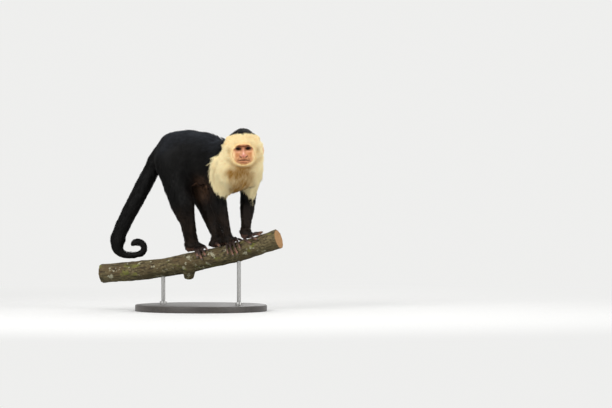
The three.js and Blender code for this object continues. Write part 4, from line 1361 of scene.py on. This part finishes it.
def makePlinthMaterial():
    material, nodes, put = newMaterial("plinthMaterial", 0.5, Coat_Weight=0.15, Coat_Roughness=0.35)
    grain = nodes.noise(nodes.places(scale=(0.12, 1, 1)), 240.0, 5.0, 0.6, 0.3)
    broad = nodes.noise(nodes.places(scale=(0.2, 1, 1)), 22.0, 3.0)
    colour = nodes.mix(nodes.ramp(grain, 0.32, 0.68), tone(42, 38, 35), tone(66, 60, 55))
    colour = nodes.mix(nodes.ramp(broad, 0.35, 0.7, 0.0, 0.5), colour, tone(50, 45, 41))
    nodes.feed(put["Base Color"], colour)
    nodes.feed(put["Roughness"], nodes.ramp(grain, 0.3, 0.7, 0.42, 0.55))
    nodes.emboss(put, grain, 0.2, 0.0004)
    return material


rodMaterial = makeMetalMaterial()
plinthTop, collarTop = plinth["height"], plinth["height"] + plinth["collarHeight"]
profile = [(0, 0), (plinth["radius"] - plinth["chamfer"], 0), (plinth["radius"], plinth["chamfer"])]
profile += roundedEdge(plinth["radius"], plinthTop, plinth["roundness"]) + [(0, plinthTop)]
base = spun("stand_plinth", profile, (0, 0, 0), plinth["steps"], makePlinthMaterial())
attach(base, "root")
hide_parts("stand_base")
for number, x in enumerate(plinth["rodPlaces"], 1):
    foot = branchAxis(x)
    top = foot[2] - plinth["rodEnd"]
    profile = [(0, plinthTop), (plinth["collar"], plinthTop)]
    profile += roundedEdge(plinth["collar"], collarTop, plinth["collarRoundness"])
    profile += [(plinth["rod"], collarTop), (plinth["rod"], top), (0, top)]
    place = (foot[0], foot[1], 0)
    rod = spun(f"stand_upright_{number}", profile, place, plinth["rodSteps"], rodMaterial)
    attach(rod, "root")
    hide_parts(f"stand_rod_{number}")
print("stand turned")

# Floor, world and lamps

studio = {
    "floorRadius": 6.0,
    "fadeStart": 0.55,
    "fadeEnd": 1.9,
    "worldStrength": 0.50,
    "top": {"place": (0.2, -0.3, 2.6), "size": 2.0, "power": 20},
    "key": {"place": (-1.9, -2.6, 1.7), "size": 1.6, "power": 74},
    "fill": {"place": (2.6, -1.6, 1.2), "size": 1.6, "power": 38},
    "back": {"place": (0.8, 2.6, 1.6), "size": 1.6, "power": 20},
}


def seenDirectly(nodes):
    path = nodes.add("LightPath").outputs
    seen = nodes.math("MAXIMUM", path["Is Camera Ray"], path["Is Glossy Ray"])
    return nodes.math("MAXIMUM", seen, path["Is Transmission Ray"])


def makeFloor():
    bm = bmesh.new()
    bmesh.ops.create_circle(bm, cap_ends=True, segments=96, radius=studio["floorRadius"])
    material, nodes, put = newMaterial("floorMaterial", 0.9, Specular_IOR_Level=0.1)
    mottle = nodes.noise(nodes.places(), 9.0, 3.0)
    pale = (*stage["floorColour"], 1)
    nodes.feed(put["Base Color"], nodes.mix(nodes.times(mottle, 0.03), pale, tone(200, 200, 200)))
    across = nodes.add("VectorMath", {"operation": "LENGTH"}, i0=nodes.places()).outputs["Value"]
    far = nodes.ramp(across, studio["fadeStart"], studio["fadeEnd"])
    glow = nodes.add("Emission", Color=(*stage["background"], 1), Strength=1.0)
    share = nodes.times(far, seenDirectly(nodes))
    lit = material.node_tree.nodes["Principled BSDF"].outputs[0]
    both = nodes.add("MixShader", i0=share, i1=lit, i2=glow.outputs[0])
    nodes.feed(material.node_tree.nodes["Material Output"].inputs["Surface"], both.outputs[0])
    floor = newObject("floor", meshFromBmesh(bm, "floor", False), material)


def makeWorld():
    world = bpy.data.worlds.new("studio")
    world.use_nodes = True
    nodes = Nodes(world.node_tree)
    seen = nodes.add("Background", Color=(*stage["background"], 1), Strength=1.0)
    light = world.node_tree.nodes["Background"]
    light.inputs["Color"].default_value = (1, 1, 1, 1)
    light.inputs["Strength"].default_value = studio["worldStrength"]
    both = nodes.add("MixShader", i0=seenDirectly(nodes), i1=light.outputs[0], i2=seen.outputs[0])
    nodes.feed(world.node_tree.nodes["World Output"].inputs["Surface"], both.outputs[0])
    scene.world = world


def makeLamp(name, settings):
    data = bpy.data.lights.new(name, "AREA")
    data.energy = settings["power"]
    data.size = settings["size"]
    lamp = bpy.data.objects.new(name, data)
    lamp.location = settings["place"]
    lamp.rotation_euler = (Vector((0, 0, 0.28)) - lamp.location).to_track_quat("-Z", "Y").to_euler()
    scene.collection.objects.link(lamp)


makeFloor()
makeWorld()
for name in ("top", "key", "fill", "back"):
    makeLamp(name, studio[name])
scene.view_settings.view_transform = "Standard"
print("studio lit")
